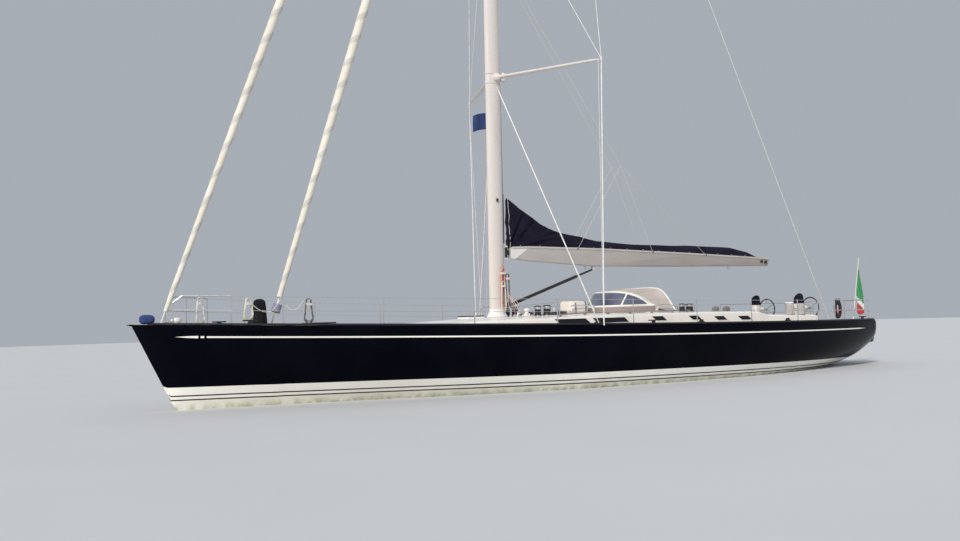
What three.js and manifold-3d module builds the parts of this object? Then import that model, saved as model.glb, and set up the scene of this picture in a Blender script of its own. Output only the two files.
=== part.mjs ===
// A sloop-rigged cruising yacht afloat with its whole hull, in millimetres.
// +X points to the bow, +Y to port and +Z up. The origin is amidships on the waterline.
import * as THREE from "three";
import { mergeVertices } from "three/addons/utils/BufferGeometryUtils.js";
import Module from "manifold-3d";

const wasm = await Module();
wasm.setup();

// Clearances
const GAP = 0.3; // between pieces that touch
const SEAT_DEPTH = 20; // how far a foot is drawn into its carrier before it is cut back
const OVERLAP = 10; // how far a cut or a joined piece runs into the next one
const OVERCUT = 50; // how far a cut runs past an open face

// Hull
const LENGTH = 24000;
const BOW_X = 12000;
const TRANSOM_TOP_X = -11320;
const STERN_X = -12000;
const HALF_BEAM = 2975;
const TRANSOM_HALF_BEAM = 1400;
const WIDEST_AT = 0.6; // share of the length aft of the bow
const SHEER = { bow: 1896, stern: 1439, sag: 108 };
const STEM_FOOT_X = 11060;
const COUNTER_X = -10400;
const DEEPEST_X = 330;
const BODY_DRAFT = 780;
const STERN_TIP_Z = 710;
const DECK_THICKNESS = 40;
const DECK_CAMBER = 60;
const DECK_INSET = 2;

// Hull stations from the bow to the stern tip, and the heights of the points of one section, as shares
const STATIONS = [
  11985, 11880, 11750, 11580, 11400, 11230, 11060, 10780, 10500, 10000, 9500, 8750, 8000, 7000, 6000, 4750,
  3500, 2000, 500, -1000, -2500, -3750, -5000, -6250, -7500, -8400, -9300, -9850, -10400, -10700, -11000,
  -11320, -11460, -11600, -11720, -11830, -11910, -11960, -11998,
];
const SECTION_HEIGHTS = [0.01, 0.035, 0.08, 0.14, 0.22, 0.32, 0.43, 0.55, 0.68, 0.83, 1];
// x, then the two exponents that set how full a section is
const FULLNESS = [
  [12000, 1.0, 1.0],
  [9000, 1.25, 1.15],
  [6000, 1.8, 1.5],
  [1500, 3.3, 2.2],
  [-5000, 3.3, 2.2],
  [-12000, 2.6, 1.9],
];

// Coachroof and coamings: x, half width at the deck, height of the top edge
const COACHROOF = [
  [5250, 160, 1690],
  [5240, 260, 1691],
  [5200, 430, 1693],
  [5100, 660, 1697],
  [4950, 835, 1704],
  [4780, 1000, 1712],
  [4500, 1160, 1726],
  [4100, 1330, 1745],
  [3490, 1500, 1770],
  [2600, 1625, 1783],
  [1610, 1710, 1795],
  [610, 1770, 1830],
  [-3430, 1790, 1830],
  [-5750, 1770, 1800],
  [-6200, 1755, 1690],
  [-7100, 1730, 1670],
  [-8400, 1665, 1655],
  [-8500, 1660, 1640],
];
const ROOF_CAMBER = 60;
const ROOF_SHOULDER = 150; // from the side wall in to the top edge
const WALL_LEAN = 40;
const SHOULDER_DROP = 50;
const SHOULDER_TURNS = [0, 30, 60, 90]; // degrees round the shoulder, from the wall to the top

// Cockpits
const GUEST = { front: -3420, back: -7250, half: 1300, seatZ: 1330, footHalf: 520, soleZ: 930 };
const HELM = { front: -7700, back: -10150, half: 1450, soleZ: 1000 };
const CUT_TOP_Z = 3000; // cuts that are open above reach up to here

// Companionway, with the engine under its steps
const DOORWAY = { half: 350, sillZ: 1260, cutZ: 2060, wall: 40 };
const STAIRWELL = { front: -2250, half: 360, topZ: 1700, hatchFront: -2600 };
const ENGINE_BAY = { front: -2250, back: -3650, half: 450, floorZ: -400, topZ: 700 };
const ENGINE = { front: -2320, back: -3580, half: 380, height: 760 };
const HATCH_RAIL = { y: 400, width: 30, footZ: 1800, topZ: 1930, front: -1700, back: -3430 };
const HATCH = { half: 430, front: -2560, back: -3455, thickness: 35 };
const HATCH_GRIP = { inset: 30, width: 30, half: 120, height: 30 };
const DOOR = { thickness: 30, hingeY: 370, middleGap: 3, bottomZ: 1270, topZ: 1895 };
const STEPS = { count: 3, topZ: 1185, drop: 190, thickness: 35, tread: 230, half: 300, wall: 40, footZ: 740 };
const STRINGER = { half: 20, lowTopZ: 780, highTopZ: 960 };

// Deck hatches: centre x, half size, height of the frame's top, depth of the shaft below it
const DECK_HATCHES = [
  { name: "fore_hatch_lid", x: 7600, half: 300, frameZ: 1806, shaft: 700 },
  { name: "roof_hatch_lid", x: 3280, half: 250, frameZ: 1870, shaft: 800 },
];
const HATCH_FRAME = { width: 50, depth: 70 };
const LID_THICKNESS = 28;

// Keel, rudder and propeller
const KEEL = { rootX: 1750, rootZ: -640, rootChord: 2500, tipX: 1450, tipZ: -3300, tipChord: 1900 };
const KEEL_THICKNESS = 0.13; // share of the chord
const BULB = { x: 500, z: -3330, length: 3600, radius: 300, soleZ: -3600 };
const RUDDER = { stockX: -9750, topZ: -170, bottomZ: -2800, rootChord: 950, tipChord: 620, balance: 0.24 };
const RUDDER_THICKNESS = { root: 0.15, tip: 0.13 }; // shares of the chord
const STOCK = { radius: 60, footZ: -370, topZ: 350 };
const SHAFT = { radius: 25, outerX: -6350, outerZ: -880, slope: 0.17, innerX: -3900 };
const BRACKET = { x: -6020, length: 200, radius: 48 };
const BRACKET_STRUT = { noseX: -5960, rake: 50, topZ: -300, chord: 150, thickness: 36 };
const PROPELLER = { radius: 300, hubRadius: 60, hubLength: 150, hubFront: 60, pitchDegrees: 55 };
const BLADE = { count: 3, half: 105, thickness: 20 };

// Mast: the centre line leans aft, and the section tapers above the forestay
const MAST = { x: 2447, footZ: 1800, topZ: 27800, rake: 0.0131, halfLength: 230, halfWidth: 125 };
const MAST_TAPER = { fromZ: 24000, share: 0.35 };
const MAST_SIDES = 16;
// root height, tip distance from the centre line, sweep aft
const SPREADERS = [
  { z: 8230, reach: 3000, sweep: 1220 },
  { z: 14400, reach: 2560, sweep: 1040 },
  { z: 20400, reach: 1960, sweep: 800 },
];
const SPREADER_ROOT = { inside: 20, halfChord: 120, halfDepth: 32 };
const SPREADER_TIP = { radius: 26, half: 45, halfChord: 48, halfDepth: 16 };
const SHROUD_RADIUS = 10;
const TURNBUCKLE = { length: 320, radius: 17, lean: 6 };
const LOWER_SHROUD_DROP = 90; // below the spreader's root
const CHAINPLATE = { x: 1220, capY: 2860, lowerY: 2700 };
const CAP_SHROUD_TOP_Z = 27200;
const BACKSTAY = { footX: -11150, topZ: 27500 };

// Furled headsails: foot on deck, head on the mast, and the roll's radius at shares of its length
const HEADSAILS = [
  { name: "outer_headsail", footX: 11370, headZ: 24900, start: 0.012, fullest: 110 },
  { name: "inner_headsail", footX: 8810, headZ: 20700, start: 0.033, fullest: 112 },
];
const ROLL = [
  [0, 0.3],
  [0.03, 0.55],
  [0.3, 0.95],
  [0.42, 1],
  [0.7, 0.68],
  [0.93, 0.36],
  [0.96, 0.2],
];
const STAY_RADIUS = 11;
const DRUM = { radius: 105, height: 190, above: 330 };

// Boom: x, bottom z, top z, half width at the top, half width at the bottom
const BOOM = [
  [2000, 3405, 3700, 95, 60],
  [1400, 3330, 3715, 170, 70],
  [-970, 3200, 3690, 225, 75],
  [-4500, 3215, 3600, 225, 75],
  [-8080, 3250, 3490, 165, 70],
];
// Sail cover: x, height of the crest, half width at the boom, half width at the crest
const COVER = [
  [2030, 5030, 60, 36],
  [1650, 4780, 125, 58],
  [1210, 4530, 160, 66],
  [950, 4365, 172, 69],
  [560, 4200, 180, 72],
  [100, 4110, 195, 75],
  [-1000, 3930, 215, 80],
  [-2440, 3845, 215, 80],
  [-5180, 3845, 205, 78],
  [-6440, 3815, 190, 70],
  [-7150, 3690, 175, 64],
  [-7560, 3550, 165, 60],
];
const COVER_LEAN = { fromX: 2000, share: 0.045 }; // its front edge leans off the mast, per unit of height
const SWING_X = 2100; // gooseneck and vang toggle turn on one upright line
const BOOM_PIN = { x: 1960, z: 3560, radius: 15 };
const BOOM_SLOT = { behindPin: 60, side: 6, lowZ: 3300, topZ: 3800 };
const BOOM_NOSE = { backX: 1990, half: 300, lowZ: 3000 }; // the gooseneck's room, free of the cover
const EAR_ROOT = 60; // from the middle of the mast to an ear's end inside it
const GOOSENECK = { radius: 35, bottomZ: 3420, topZ: 3700, ear: 40, tongueHalf: 20, tongueEndX: 1930 };
const VANG_PIN = { x: 2020, z: 2160, radius: 12 };
const VANG_TOGGLE = { radius: 30, bottomZ: 2105, topZ: 2215, ear: 30, tongueHalf: 15, tongueEndX: 2000 };
const VANG_EYE = { x: -910, z: 3130, pinRadius: 11, holeRadius: 15, half: 12 };
const VANG_LUG = { half: 45, gap: 6, thickness: 14, drop: 35, topZ: 3230 };
const VANG_TUBE = { radius: 44, start: 110, end: 2420, bore: 1000 };
const VANG_ROD = { radius: 28, inside: 700 };

// Rails along the deck edge
const RAIL = { inset: 90, height: 635, middle: 320, postRadius: 13, wireRadius: 5 };
const LOW_RAIL = 0.8; // share of the top rail's radius
const RAIL_POST = 0.95; // share of the top rail's radius
const STANCHION_HEAD = 15;
const WIRE_DROP = 10;
const RAIL_ENDS = { lowZ: 1300, topZ: 2700 };
const STANCHIONS = [9000, 6850, 4700, 2500, 200, -2000, -4150, -6300, -7400];
const PULPIT = { aftX: 10050, middleX: 10620, bendX: 11000, frontX: 11180, bendDrop: 150, barHeight: 70 };
const PUSHPIT = { frontX: -8430, middleX: -9750, aftX: -10950, endX: -11130, endInset: 330, endY: 620 };
const END_RAIL_RADIUS = 16;
const TOE_RAIL = { inset: 4, width: 32, height: 42, front: 11600, back: -11250 };
const CLEATS = [9700, -400, -10300];
const CLEAT = { length: 330, width: 34, hornLow: 45, hornTop: 75, footLength: 100, footDepth: 20 };

// Windscreen and sprayhood, in plan a parabola about the centre line
const SCREEN_BASE = { frontX: -780, curve: 0.00071, half: 1300, footZ: 1790, z: 2035, width: 170 };
const SCREEN_LIP = { top: 30, foot: 90 }; // how far the base stands ahead of its curve
const SCREEN = { setBack: 40, ahead: 60, least: 15, thickness: 24 };
// crown x, foot x, crown z, foot z, half width at the foot, how much narrower the crown is,
// and the roundness of the arch: 1 is an ellipse
const HOOPS = [
  [-1300, -1980, 2478, 1990, 1290, 300, 0.6],
  [-1950, -2250, 2550, 1930, 1345, 370, 0.45],
  [-2500, -2690, 2560, 1870, 1400, 430, 0.3],
];
const HOOP_SWEEP = 2; // power of the arches' curve in plan
const CANVAS_THICKNESS = 18;
const HOOP_STEPS = 12;

// Deck gear
const RAFT = { x: -170, halfX: 340, halfY: 290, topZ: 2235, corner: 130 };
const PEDESTAL = { x: -8550, y: 880, halfX: 120, halfY: 120, topZ: 2050, corner: 50 };
const HELM_COVER = { halfX: 130, halfY: 135, height: 340, corner: 90 };
const WHEEL = { x: -9100, z: 1880, radius: 340, rim: 16, hub: 50, hubBack: 30, spokes: 6 };
const WINCHES = [
  { name: "halyard_winch", x: 1630, y: 700, radius: 95, height: 290 },
  { name: "primary_winch", x: -3120, y: 1500, radius: 115, height: 250 },
];
const WINCH_PROFILE = [
  [1, 0],
  [1, 0.12],
  [0.72, 0.3],
  [0.68, 0.66],
  [0.9, 0.78],
  [0.9, 0.94],
  [0.3, 1],
];
const LIFEBUOY = { x: -8790, halfX: 180, halfY: 60, corner: 40, bottomZ: 1500, topZ: 2130 };
const STAFF = { x: -10960, y: 1080, topX: -11385, topZ: 3420, radius: 16 };
const ENSIGN = { halfX: 150, halfY: 30, topShare: 0.6, topZ: 3080, bottomZ: 1750 };

// Finishes: colour, roughness, metalness
const FINISH = {
  navy: [0x11161f, 0.2, 0],
  white: [0xf2f0ea, 0.3, 0],
  teak: [0xa8855c, 0.75, 0],
  glass: [0x20262c, 0.08, 0],
  mastPaint: [0xf1efe6, 0.3, 0],
  steel: [0xc9ccd0, 0.22, 1],
  black: [0x17181a, 0.45, 0],
  sailcloth: [0xeee9dc, 0.8, 0],
  navyCanvas: [0x141a2b, 0.85, 0],
  beigeCanvas: [0xcfc5ae, 0.85, 0],
  boomPaint: [0xe9e8e4, 0.35, 0],
  iron: [0x3d4a55, 0.6, 0],
  bronze: [0xb08d57, 0.3, 1],
  raft: [0xe8e2d2, 0.6, 0],
  red: [0x7d1b22, 0.8, 0],
  flag: [0xb9c4b4, 0.85, 0],
};
const materials = Object.fromEntries(
  Object.entries(FINISH).map(([name, [color, roughness, metalness]]) => [
    name,
    new THREE.MeshStandardMaterial({ color, roughness, metalness }),
  ]),
);

const yacht = new THREE.Group();
yacht.name = "sailing_yacht";
const SIDES = [
  { label: "port", sign: 1 },
  { label: "starboard", sign: -1 },
];

// Straight-line reading of a table whose first column falls or rises
function readTable(rows, x, column) {
  for (let i = 1; i < rows.length; i++) {
    const [a, b] = [rows[i - 1], rows[i]];
    const share = (x - a[0]) / (b[0] - a[0]);
    if (share <= 1) return a[column] + (b[column] - a[column]) * Math.max(share, 0);
  }
  return rows[rows.length - 1][column];
}

// Solids from closed geometries
function manifoldOf(positions, index) {
  return new wasm.Manifold(new wasm.Mesh({ numProp: 3, vertProperties: positions, triVerts: index }));
}

function solid(geometry) {
  const bare = geometry.index ? geometry.toNonIndexed() : geometry.clone();
  bare.deleteAttribute("normal");
  bare.deleteAttribute("uv");
  const merged = mergeVertices(bare, 1e-3);
  return manifoldOf(merged.attributes.position.array, new Uint32Array(merged.index.array));
}

// A closed body through rings of [x, y, z] points, each with as many points.
// Its ends are closed from their middles.
function loft(rings) {
  const size = rings[0].length;
  const points = rings.flat();
  const faces = [];
  for (let r = 0; r + 1 < rings.length; r++) {
    for (let i = 0; i < size; i++) {
      const j = (i + 1) % size;
      const [a, b, c, d] = [r * size + i, r * size + j, (r + 1) * size + j, (r + 1) * size + i];
      faces.push(a, b, c, a, c, d);
    }
  }
  [0, rings.length - 1].forEach((r, end) => {
    const middle = points.length;
    points.push([0, 1, 2].map((k) => rings[r].reduce((sum, p) => sum + p[k], 0) / size));
    for (let i = 0; i < size; i++) {
      const edge = [r * size + i, r * size + ((i + 1) % size)];
      faces.push(middle, ...(end ? edge : edge.reverse()));
    }
  });
  const positions = new Float32Array(points.flat());
  const made = manifoldOf(positions, new Uint32Array(faces));
  return made.volume() > 0 ? made : manifoldOf(positions, new Uint32Array(faces.reverse()));
}

function box(x0, x1, y0, y1, z0, z1) {
  const block = new THREE.BoxGeometry(Math.abs(x1 - x0), Math.abs(y1 - y0), Math.abs(z1 - z0));
  return solid(block.translate((x0 + x1) / 2, (y0 + y1) / 2, (z0 + z1) / 2));
}

// Turns a geometry made about the Y axis so that it starts at one point and runs towards another
function alongLine(geometry, from, to) {
  const [start, end] = [new THREE.Vector3(...from), new THREE.Vector3(...to)];
  const direction = end.sub(start).normalize();
  geometry.applyQuaternion(new THREE.Quaternion().setFromUnitVectors(new THREE.Vector3(0, 1, 0), direction));
  return geometry.translate(start.x, start.y, start.z);
}

function rod(from, to, radius, sides = 6) {
  const length = new THREE.Vector3(...from).distanceTo(new THREE.Vector3(...to));
  const cylinder = new THREE.CylinderGeometry(radius, radius, length, sides).translate(0, length / 2, 0);
  return solid(alongLine(cylinder, from, to));
}

// A hole whose flat sides clear a turning shaft of the given radius
function bore(from, to, radius, sides = 24) {
  return rod(from, to, (radius + GAP) / Math.cos(Math.PI / sides), sides);
}

// A rod through points, its corners filled with small balls
function bentRod(points, radius, sides = 8) {
  let made = rod(points[0], points[1], radius, sides);
  for (let i = 1; i + 1 < points.length; i++) {
    const ball = new THREE.SphereGeometry(radius * 1.02, sides, Math.ceil(sides / 2)).translate(...points[i]);
    made = made.add(solid(ball)).add(rod(points[i], points[i + 1], radius, sides));
  }
  return made;
}

// Turned shapes: rows of [radius, height] about an upright line through x, y, z
function turned(rows, x, y, z, sides = 12) {
  const profile = [[0, rows[0][1]], ...rows, [0, rows[rows.length - 1][1]]];
  const lathe = new THREE.LatheGeometry(profile.map(([r, h]) => new THREE.Vector2(r, h)), sides);
  return solid(lathe.rotateX(Math.PI / 2).translate(x, y, z));
}

// Cuts a piece back from what carries it, which is moved by the gap towards the piece
function seatedOn(piece, carrier, direction = [0, 0, 1]) {
  return piece.subtract(carrier.translate(direction.map((k) => k * GAP)));
}

function addPiece(name, made, material) {
  const { vertProperties, triVerts } = made.getMesh();
  const geometry = new THREE.BufferGeometry();
  geometry.setAttribute("position", new THREE.BufferAttribute(new Float32Array(vertProperties), 3));
  geometry.setIndex(new THREE.BufferAttribute(new Uint32Array(triVerts), 1));
  const mesh = new THREE.Mesh(geometry, materials[material]);
  mesh.name = name;
  yacht.add(mesh);
  return made;
}

// Hull form
function sheerZ(x) {
  const t = (BOW_X - x) / (BOW_X - TRANSOM_TOP_X);
  return SHEER.bow + (SHEER.stern - SHEER.bow) * t - SHEER.sag * 4 * t * (1 - t);
}

function deckHalfBeam(x) {
  const t = (BOW_X - x) / LENGTH;
  if (t < WIDEST_AT) return HALF_BEAM * (1 - (1 - t / WIDEST_AT) ** 2.3);
  const narrowing = ((t - WIDEST_AT) / (1 - WIDEST_AT)) ** 2.2;
  return HALF_BEAM * (1 - (1 - TRANSOM_HALF_BEAM / HALF_BEAM) * narrowing);
}

function bottomZ(x) {
  if (x > STEM_FOOT_X) return (SHEER.bow * (x - STEM_FOOT_X)) / (BOW_X - STEM_FOOT_X);
  if (x < COUNTER_X) {
    const aft = (COUNTER_X - x) / 1000;
    return 1000 * (0.15 * aft + 0.16 * aft ** 2);
  }
  const u = (x - DEEPEST_X) / (STEM_FOOT_X - DEEPEST_X);
  return -BODY_DRAFT * (1 - u * u) ** (u > 0 ? 0.6 : 1);
}

// The hull's top under the deck, and behind it the round transom
function hullTopZ(x) {
  const deckSeat = sheerZ(Math.max(x, TRANSOM_TOP_X)) - DECK_THICKNESS;
  if (x >= TRANSOM_TOP_X) return deckSeat;
  const share = (TRANSOM_TOP_X - x) / (TRANSOM_TOP_X - STERN_X);
  return STERN_TIP_Z + (deckSeat - STERN_TIP_Z) * (1 - share ** 1.6) ** (1 / 1.6);
}

function deckTopZ(x, y) {
  const half = deckHalfBeam(x);
  return sheerZ(x) + DECK_CAMBER * (half / HALF_BEAM) * (1 - (y / half) ** 2);
}

function hullSection(x) {
  const [low, top] = [bottomZ(x), hullTopZ(x)];
  const narrowed = x < TRANSOM_TOP_X ? 1 - 0.25 * ((TRANSOM_TOP_X - x) / (TRANSOM_TOP_X - STERN_X)) ** 2 : 1;
  const half = deckHalfBeam(x) * narrowed;
  const [p, q] = [readTable(FULLNESS, x, 1), readTable(FULLNESS, x, 2)];
  const side = SECTION_HEIGHTS.map((h) => [half * (1 - (1 - h) ** p) ** (1 / q), low + (top - low) * h]);
  const port = side.map(([y, z]) => [x, y, z]);
  const starboard = side.map(([y, z]) => [x, -y, z]).reverse();
  return [[x, 0, low], ...port, ...starboard];
}

function deckSection(x) {
  const half = deckHalfBeam(x) - DECK_INSET;
  const low = sheerZ(x) - DECK_THICKNESS + GAP;
  const top = [1, 0.5, 0, -0.5, -1].map((share) => [x, half * share, deckTopZ(x, half * share)]);
  return [[x, -half, low], [x, half, low], ...top];
}

const hullBody = loft(STATIONS.map(hullSection));
const deckStations = STATIONS.filter((x) => x > TRANSOM_TOP_X).concat(TRANSOM_TOP_X + OVERLAP);
const deckBody = loft(deckStations.map(deckSection));

// Coachroof with its side coamings, the windscreen's curved base and the hatch rails
function coachroofSection([x, half, top]) {
  const foot = sheerZ(x) - SEAT_DEPTH;
  const edge = half - ROOF_SHOULDER;
  const shoulder = SHOULDER_TURNS.map((degrees) => {
    const turn = THREE.MathUtils.degToRad(degrees);
    const y = edge + (ROOF_SHOULDER - WALL_LEAN) * Math.cos(turn);
    return [x, y, top - SHOULDER_DROP * (1 - Math.sin(turn))];
  });
  const port = [[x, half, foot], ...shoulder, [x, edge / 2, top + ROOF_CAMBER * 0.75]];
  const starboard = port.map(([a, b, c]) => [a, -b, c]).reverse();
  return [...port, [x, 0, top + ROOF_CAMBER], ...starboard];
}

function screenBaseX(y) {
  return SCREEN_BASE.frontX - SCREEN_BASE.curve * y * y;
}

function screenBase() {
  const ys = [-1, -0.75, -0.5, -0.25, 0, 0.25, 0.5, 0.75, 1].map((share) => share * SCREEN_BASE.half);
  return loft(
    ys.map((y) => {
      const front = screenBaseX(y) + SCREEN_LIP.top;
      const back = front - SCREEN_BASE.width;
      const [low, top] = [SCREEN_BASE.footZ, SCREEN_BASE.z];
      return [
        [screenBaseX(y) + SCREEN_LIP.foot, y, low],
        [front, y, top],
        [back, y, top],
        [back, y, low],
      ];
    }),
  );
}

function hatchRails() {
  const { y, width, footZ, topZ, front, back } = HATCH_RAIL;
  const rail = ({ sign }) => box(back, front, sign * y, sign * (y - width), footZ, topZ);
  const [port, starboard] = SIDES.map(rail);
  return port.add(starboard);
}

function cockpitWells() {
  const guest = box(GUEST.back, GUEST.front, -GUEST.half, GUEST.half, GUEST.seatZ, CUT_TOP_Z);
  const foot = box(GUEST.back, GUEST.front, -GUEST.footHalf, GUEST.footHalf, GUEST.soleZ, CUT_TOP_Z);
  const helm = box(HELM.back, HELM.front, -HELM.half, HELM.half, HELM.soleZ, CUT_TOP_Z);
  return guest.add(foot).add(helm);
}

// The deck between the two cockpits, and between the low coamings ahead of the wheels
function bridgeway() {
  return box(HELM.back, GUEST.back + OVERLAP, -HELM.half, HELM.half, HELM.soleZ, CUT_TOP_Z);
}

function companionway() {
  const inner = GUEST.front + DOORWAY.wall;
  const lowZ = ENGINE_BAY.topZ - OVERLAP;
  const stairs = box(inner, STAIRWELL.front, -STAIRWELL.half, STAIRWELL.half, lowZ, STAIRWELL.topZ);
  const { half, sillZ, cutZ } = DOORWAY;
  const doorway = box(GUEST.front - OVERCUT, inner + OVERLAP, -half, half, sillZ, cutZ);
  const bay = box(
    ENGINE_BAY.back, ENGINE_BAY.front, -ENGINE_BAY.half, ENGINE_BAY.half, ENGINE_BAY.floorZ, ENGINE_BAY.topZ,
  );
  return stairs.add(doorway).add(bay);
}

function roofOpening() {
  const { half, sillZ } = DOORWAY;
  return box(GUEST.front - OVERCUT, STAIRWELL.hatchFront, -half, half, sillZ, CUT_TOP_Z);
}

function hatchShaft({ x, half, frameZ, shaft }) {
  const inner = half - HATCH_FRAME.width;
  return box(x - inner, x + inner, -inner, inner, frameZ - shaft, CUT_TOP_Z);
}

function hatchFrame({ x, half, frameZ }) {
  return box(x - half, x + half, -half, half, frameZ - HATCH_FRAME.depth, frameZ);
}

const [foreHatch, roofHatch] = DECK_HATCHES;
const stockPoint = (z) => [RUDDER.stockX, 0, z];
const shaftZ = (x) => SHAFT.outerZ + (x - SHAFT.outerX) * SHAFT.slope;
const shaftPoint = (x) => [x, 0, shaftZ(x)];

const hull = addPiece(
  "hull",
  hullBody
    .subtract(cockpitWells())
    .subtract(companionway())
    .subtract(hatchShaft(foreHatch))
    .subtract(hatchShaft(roofHatch))
    .subtract(bore(stockPoint(STOCK.footZ - OVERLAP), stockPoint(STOCK.topZ + OVERLAP), STOCK.radius))
    .subtract(bore(shaftPoint(SHAFT.outerX), shaftPoint(SHAFT.innerX + OVERLAP), SHAFT.radius, 16)),
  "navy",
);
const deck = addPiece(
  "deck",
  deckBody
    .add(hatchFrame(foreHatch))
    .subtract(hatchShaft(foreHatch))
    .subtract(hatchShaft(roofHatch))
    .subtract(cockpitWells())
    .subtract(companionway()),
  "teak",
);
const coachroofShell = loft(COACHROOF.map(coachroofSection)).add(screenBase()).add(hatchRails());
const coachroof = addPiece(
  "coachroof",
  seatedOn(coachroofShell.add(hatchFrame(roofHatch)), deckBody)
    .subtract(cockpitWells())
    .subtract(bridgeway())
    .subtract(roofOpening())
    .subtract(hatchShaft(roofHatch)),
  "white",
);

// Companion hatch and doors, the steps and the engine block below
function companionSteps(wall) {
  const { count, topZ, drop, thickness, tread, half, footZ } = STEPS;
  let steps = box(wall, wall + STEPS.wall, -half, half, footZ, topZ);
  for (let k = 0; k < count; k++) {
    const top = topZ - drop * k;
    steps = steps.add(box(wall, wall + tread * (k + 1), -half, half, top - thickness, top));
  }
  const low = box(wall, wall + tread * count, -STRINGER.half, STRINGER.half, footZ, STRINGER.lowTopZ);
  const high = box(wall, wall + tread * (count - 1), -STRINGER.half, STRINGER.half, footZ, STRINGER.highTopZ);
  return steps.add(low).add(high);
}

function companionPieces() {
  const { half, front, back, thickness } = HATCH;
  const low = HATCH_RAIL.topZ + GAP;
  const lid = box(back, front, -half, half, low, low + thickness);
  const gripX = back + HATCH_GRIP.inset;
  const gripTop = low + thickness + HATCH_GRIP.height;
  const grip = box(gripX, gripX + HATCH_GRIP.width, -HATCH_GRIP.half, HATCH_GRIP.half, low, gripTop);
  addPiece("companion_hatch", lid.add(grip), "glass");
  for (const { label, sign } of SIDES) {
    const { thickness: depth, middleGap, hingeY, bottomZ: foot, topZ } = DOOR;
    const fore = GUEST.front - GAP;
    const leaf = box(fore - depth, fore, sign * middleGap, sign * hingeY, foot, topZ);
    addPiece(`companion_door_${label}`, leaf, "white");
  }
  const wall = GUEST.front + DOORWAY.wall + GAP;
  addPiece("companion_steps", companionSteps(wall), "teak");
  const floor = ENGINE_BAY.floorZ + GAP;
  const block = box(ENGINE.back, ENGINE.front, -ENGINE.half, ENGINE.half, floor, floor + ENGINE.height);
  addPiece("engine_block", block, "iron");
}

function hatchLids() {
  for (const { name, x, half, frameZ } of DECK_HATCHES) {
    const lid = box(x - half, x + half, -half, half, frameZ + GAP, frameZ + GAP + LID_THICKNESS);
    addPiece(name, lid, "glass");
  }
}

// Foils: a ring about the chord line, thickest a third from its nose
const FOIL = [
  [0, 0],
  [0.05, 0.5],
  [0.16, 0.86],
  [0.34, 1],
  [0.62, 0.72],
  [1, 0.04],
];

function foilRing(noseX, chord, thickness, z) {
  const upper = FOIL.map(([along, thick]) => [noseX - chord * along, (chord * thickness * thick) / 2, z]);
  const lower = upper.slice(1).map(([x, y, k]) => [x, -y, k]).reverse();
  return [...upper, ...lower];
}

function keelPieces() {
  const { x, z, length, radius, soleZ } = BULB;
  const rows = [0.02, 0.1, 0.25, 0.45, 0.65, 0.82, 0.94, 1].map((share) => {
    const taper = share < 0.4 ? Math.sqrt(1 - ((0.4 - share) / 0.4) ** 2) : 1 - ((share - 0.4) / 0.6) ** 2;
    return [Math.max(radius * taper, 12), -length * share];
  });
  const profile = [[0, 0], ...rows, [0, -length]].map(([r, h]) => new THREE.Vector2(r, h));
  const spindle = new THREE.LatheGeometry(profile.reverse(), 16);
  spindle.rotateZ(-Math.PI / 2).scale(1, 1.25, 0.95).translate(x + length / 2, 0, z);
  const bulb = solid(spindle).subtract(box(x - length, x + length, -1000, 1000, soleZ - 1000, soleZ));
  const { rootX, rootZ, rootChord, tipX, tipZ, tipChord } = KEEL;
  const fin = loft([
    foilRing(rootX, rootChord, KEEL_THICKNESS, rootZ),
    foilRing(tipX, tipChord, KEEL_THICKNESS, tipZ),
  ]);
  addPiece("keel_bulb", bulb, "iron");
  addPiece("keel_fin", seatedOn(seatedOn(fin, bulb), hullBody, [0, 0, -1]), "iron");
}

function rudderPiece() {
  const { stockX, topZ, bottomZ: low, rootChord, tipChord, balance } = RUDDER;
  const blade = loft([
    foilRing(stockX + rootChord * balance, rootChord, RUDDER_THICKNESS.root, topZ),
    foilRing(stockX + tipChord * balance, tipChord, RUDDER_THICKNESS.tip, low),
  ]);
  const stock = rod(stockPoint(STOCK.footZ), stockPoint(STOCK.topZ), STOCK.radius, 24);
  addPiece("rudder", blade.add(stock), "iron");
}

function propellerPieces() {
  const { radius, hubRadius, hubLength, hubFront, pitchDegrees } = PROPELLER;
  const frontX = SHAFT.outerX + hubFront;
  const shaft = rod(shaftPoint(frontX), shaftPoint(SHAFT.innerX), SHAFT.radius, 16);
  let wheel = rod(shaftPoint(SHAFT.outerX - hubLength), shaftPoint(frontX - GAP), hubRadius, 12);
  const axis = new THREE.Vector3(1, 0, SHAFT.slope).normalize();
  const { count, half: bladeHalf, thickness } = BLADE;
  const reach = (radius - hubRadius) / 2 + thickness;
  for (let k = 0; k < count; k++) {
    const blade = new THREE.SphereGeometry(1, 8, 6).scale(thickness, bladeHalf, reach);
    blade.rotateZ(THREE.MathUtils.degToRad(90 - pitchDegrees)).translate(0, 0, radius - reach);
    const turn = new THREE.Matrix4().makeRotationAxis(axis, (2 * Math.PI * k) / count);
    blade.rotateY(-Math.atan(SHAFT.slope)).applyMatrix4(turn);
    wheel = wheel.add(solid(blade.translate(...shaftPoint(SHAFT.outerX - hubLength / 2))));
  }
  addPiece("propeller", wheel, "bronze");
  addPiece("propeller_shaft", shaft, "steel");
  const half = BRACKET.length / 2;
  const [from, to] = [shaftPoint(BRACKET.x - half), shaftPoint(BRACKET.x + half)];
  const { noseX, rake, topZ, chord, thickness: depth } = BRACKET_STRUT;
  const strut = loft([
    foilRing(noseX, chord, depth / chord, shaftZ(BRACKET.x)),
    foilRing(noseX + rake, chord, depth / chord, topZ),
  ]);
  const bearing = rod(from, to, BRACKET.radius, 16).add(strut);
  const ends = [BRACKET.x - BRACKET.length, BRACKET.x + BRACKET.length].map(shaftPoint);
  const hole = bore(...ends, SHAFT.radius, 16);
  addPiece("shaft_bracket", seatedOn(bearing.subtract(hole), hullBody, [0, 0, -1]), "bronze");
}

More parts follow.
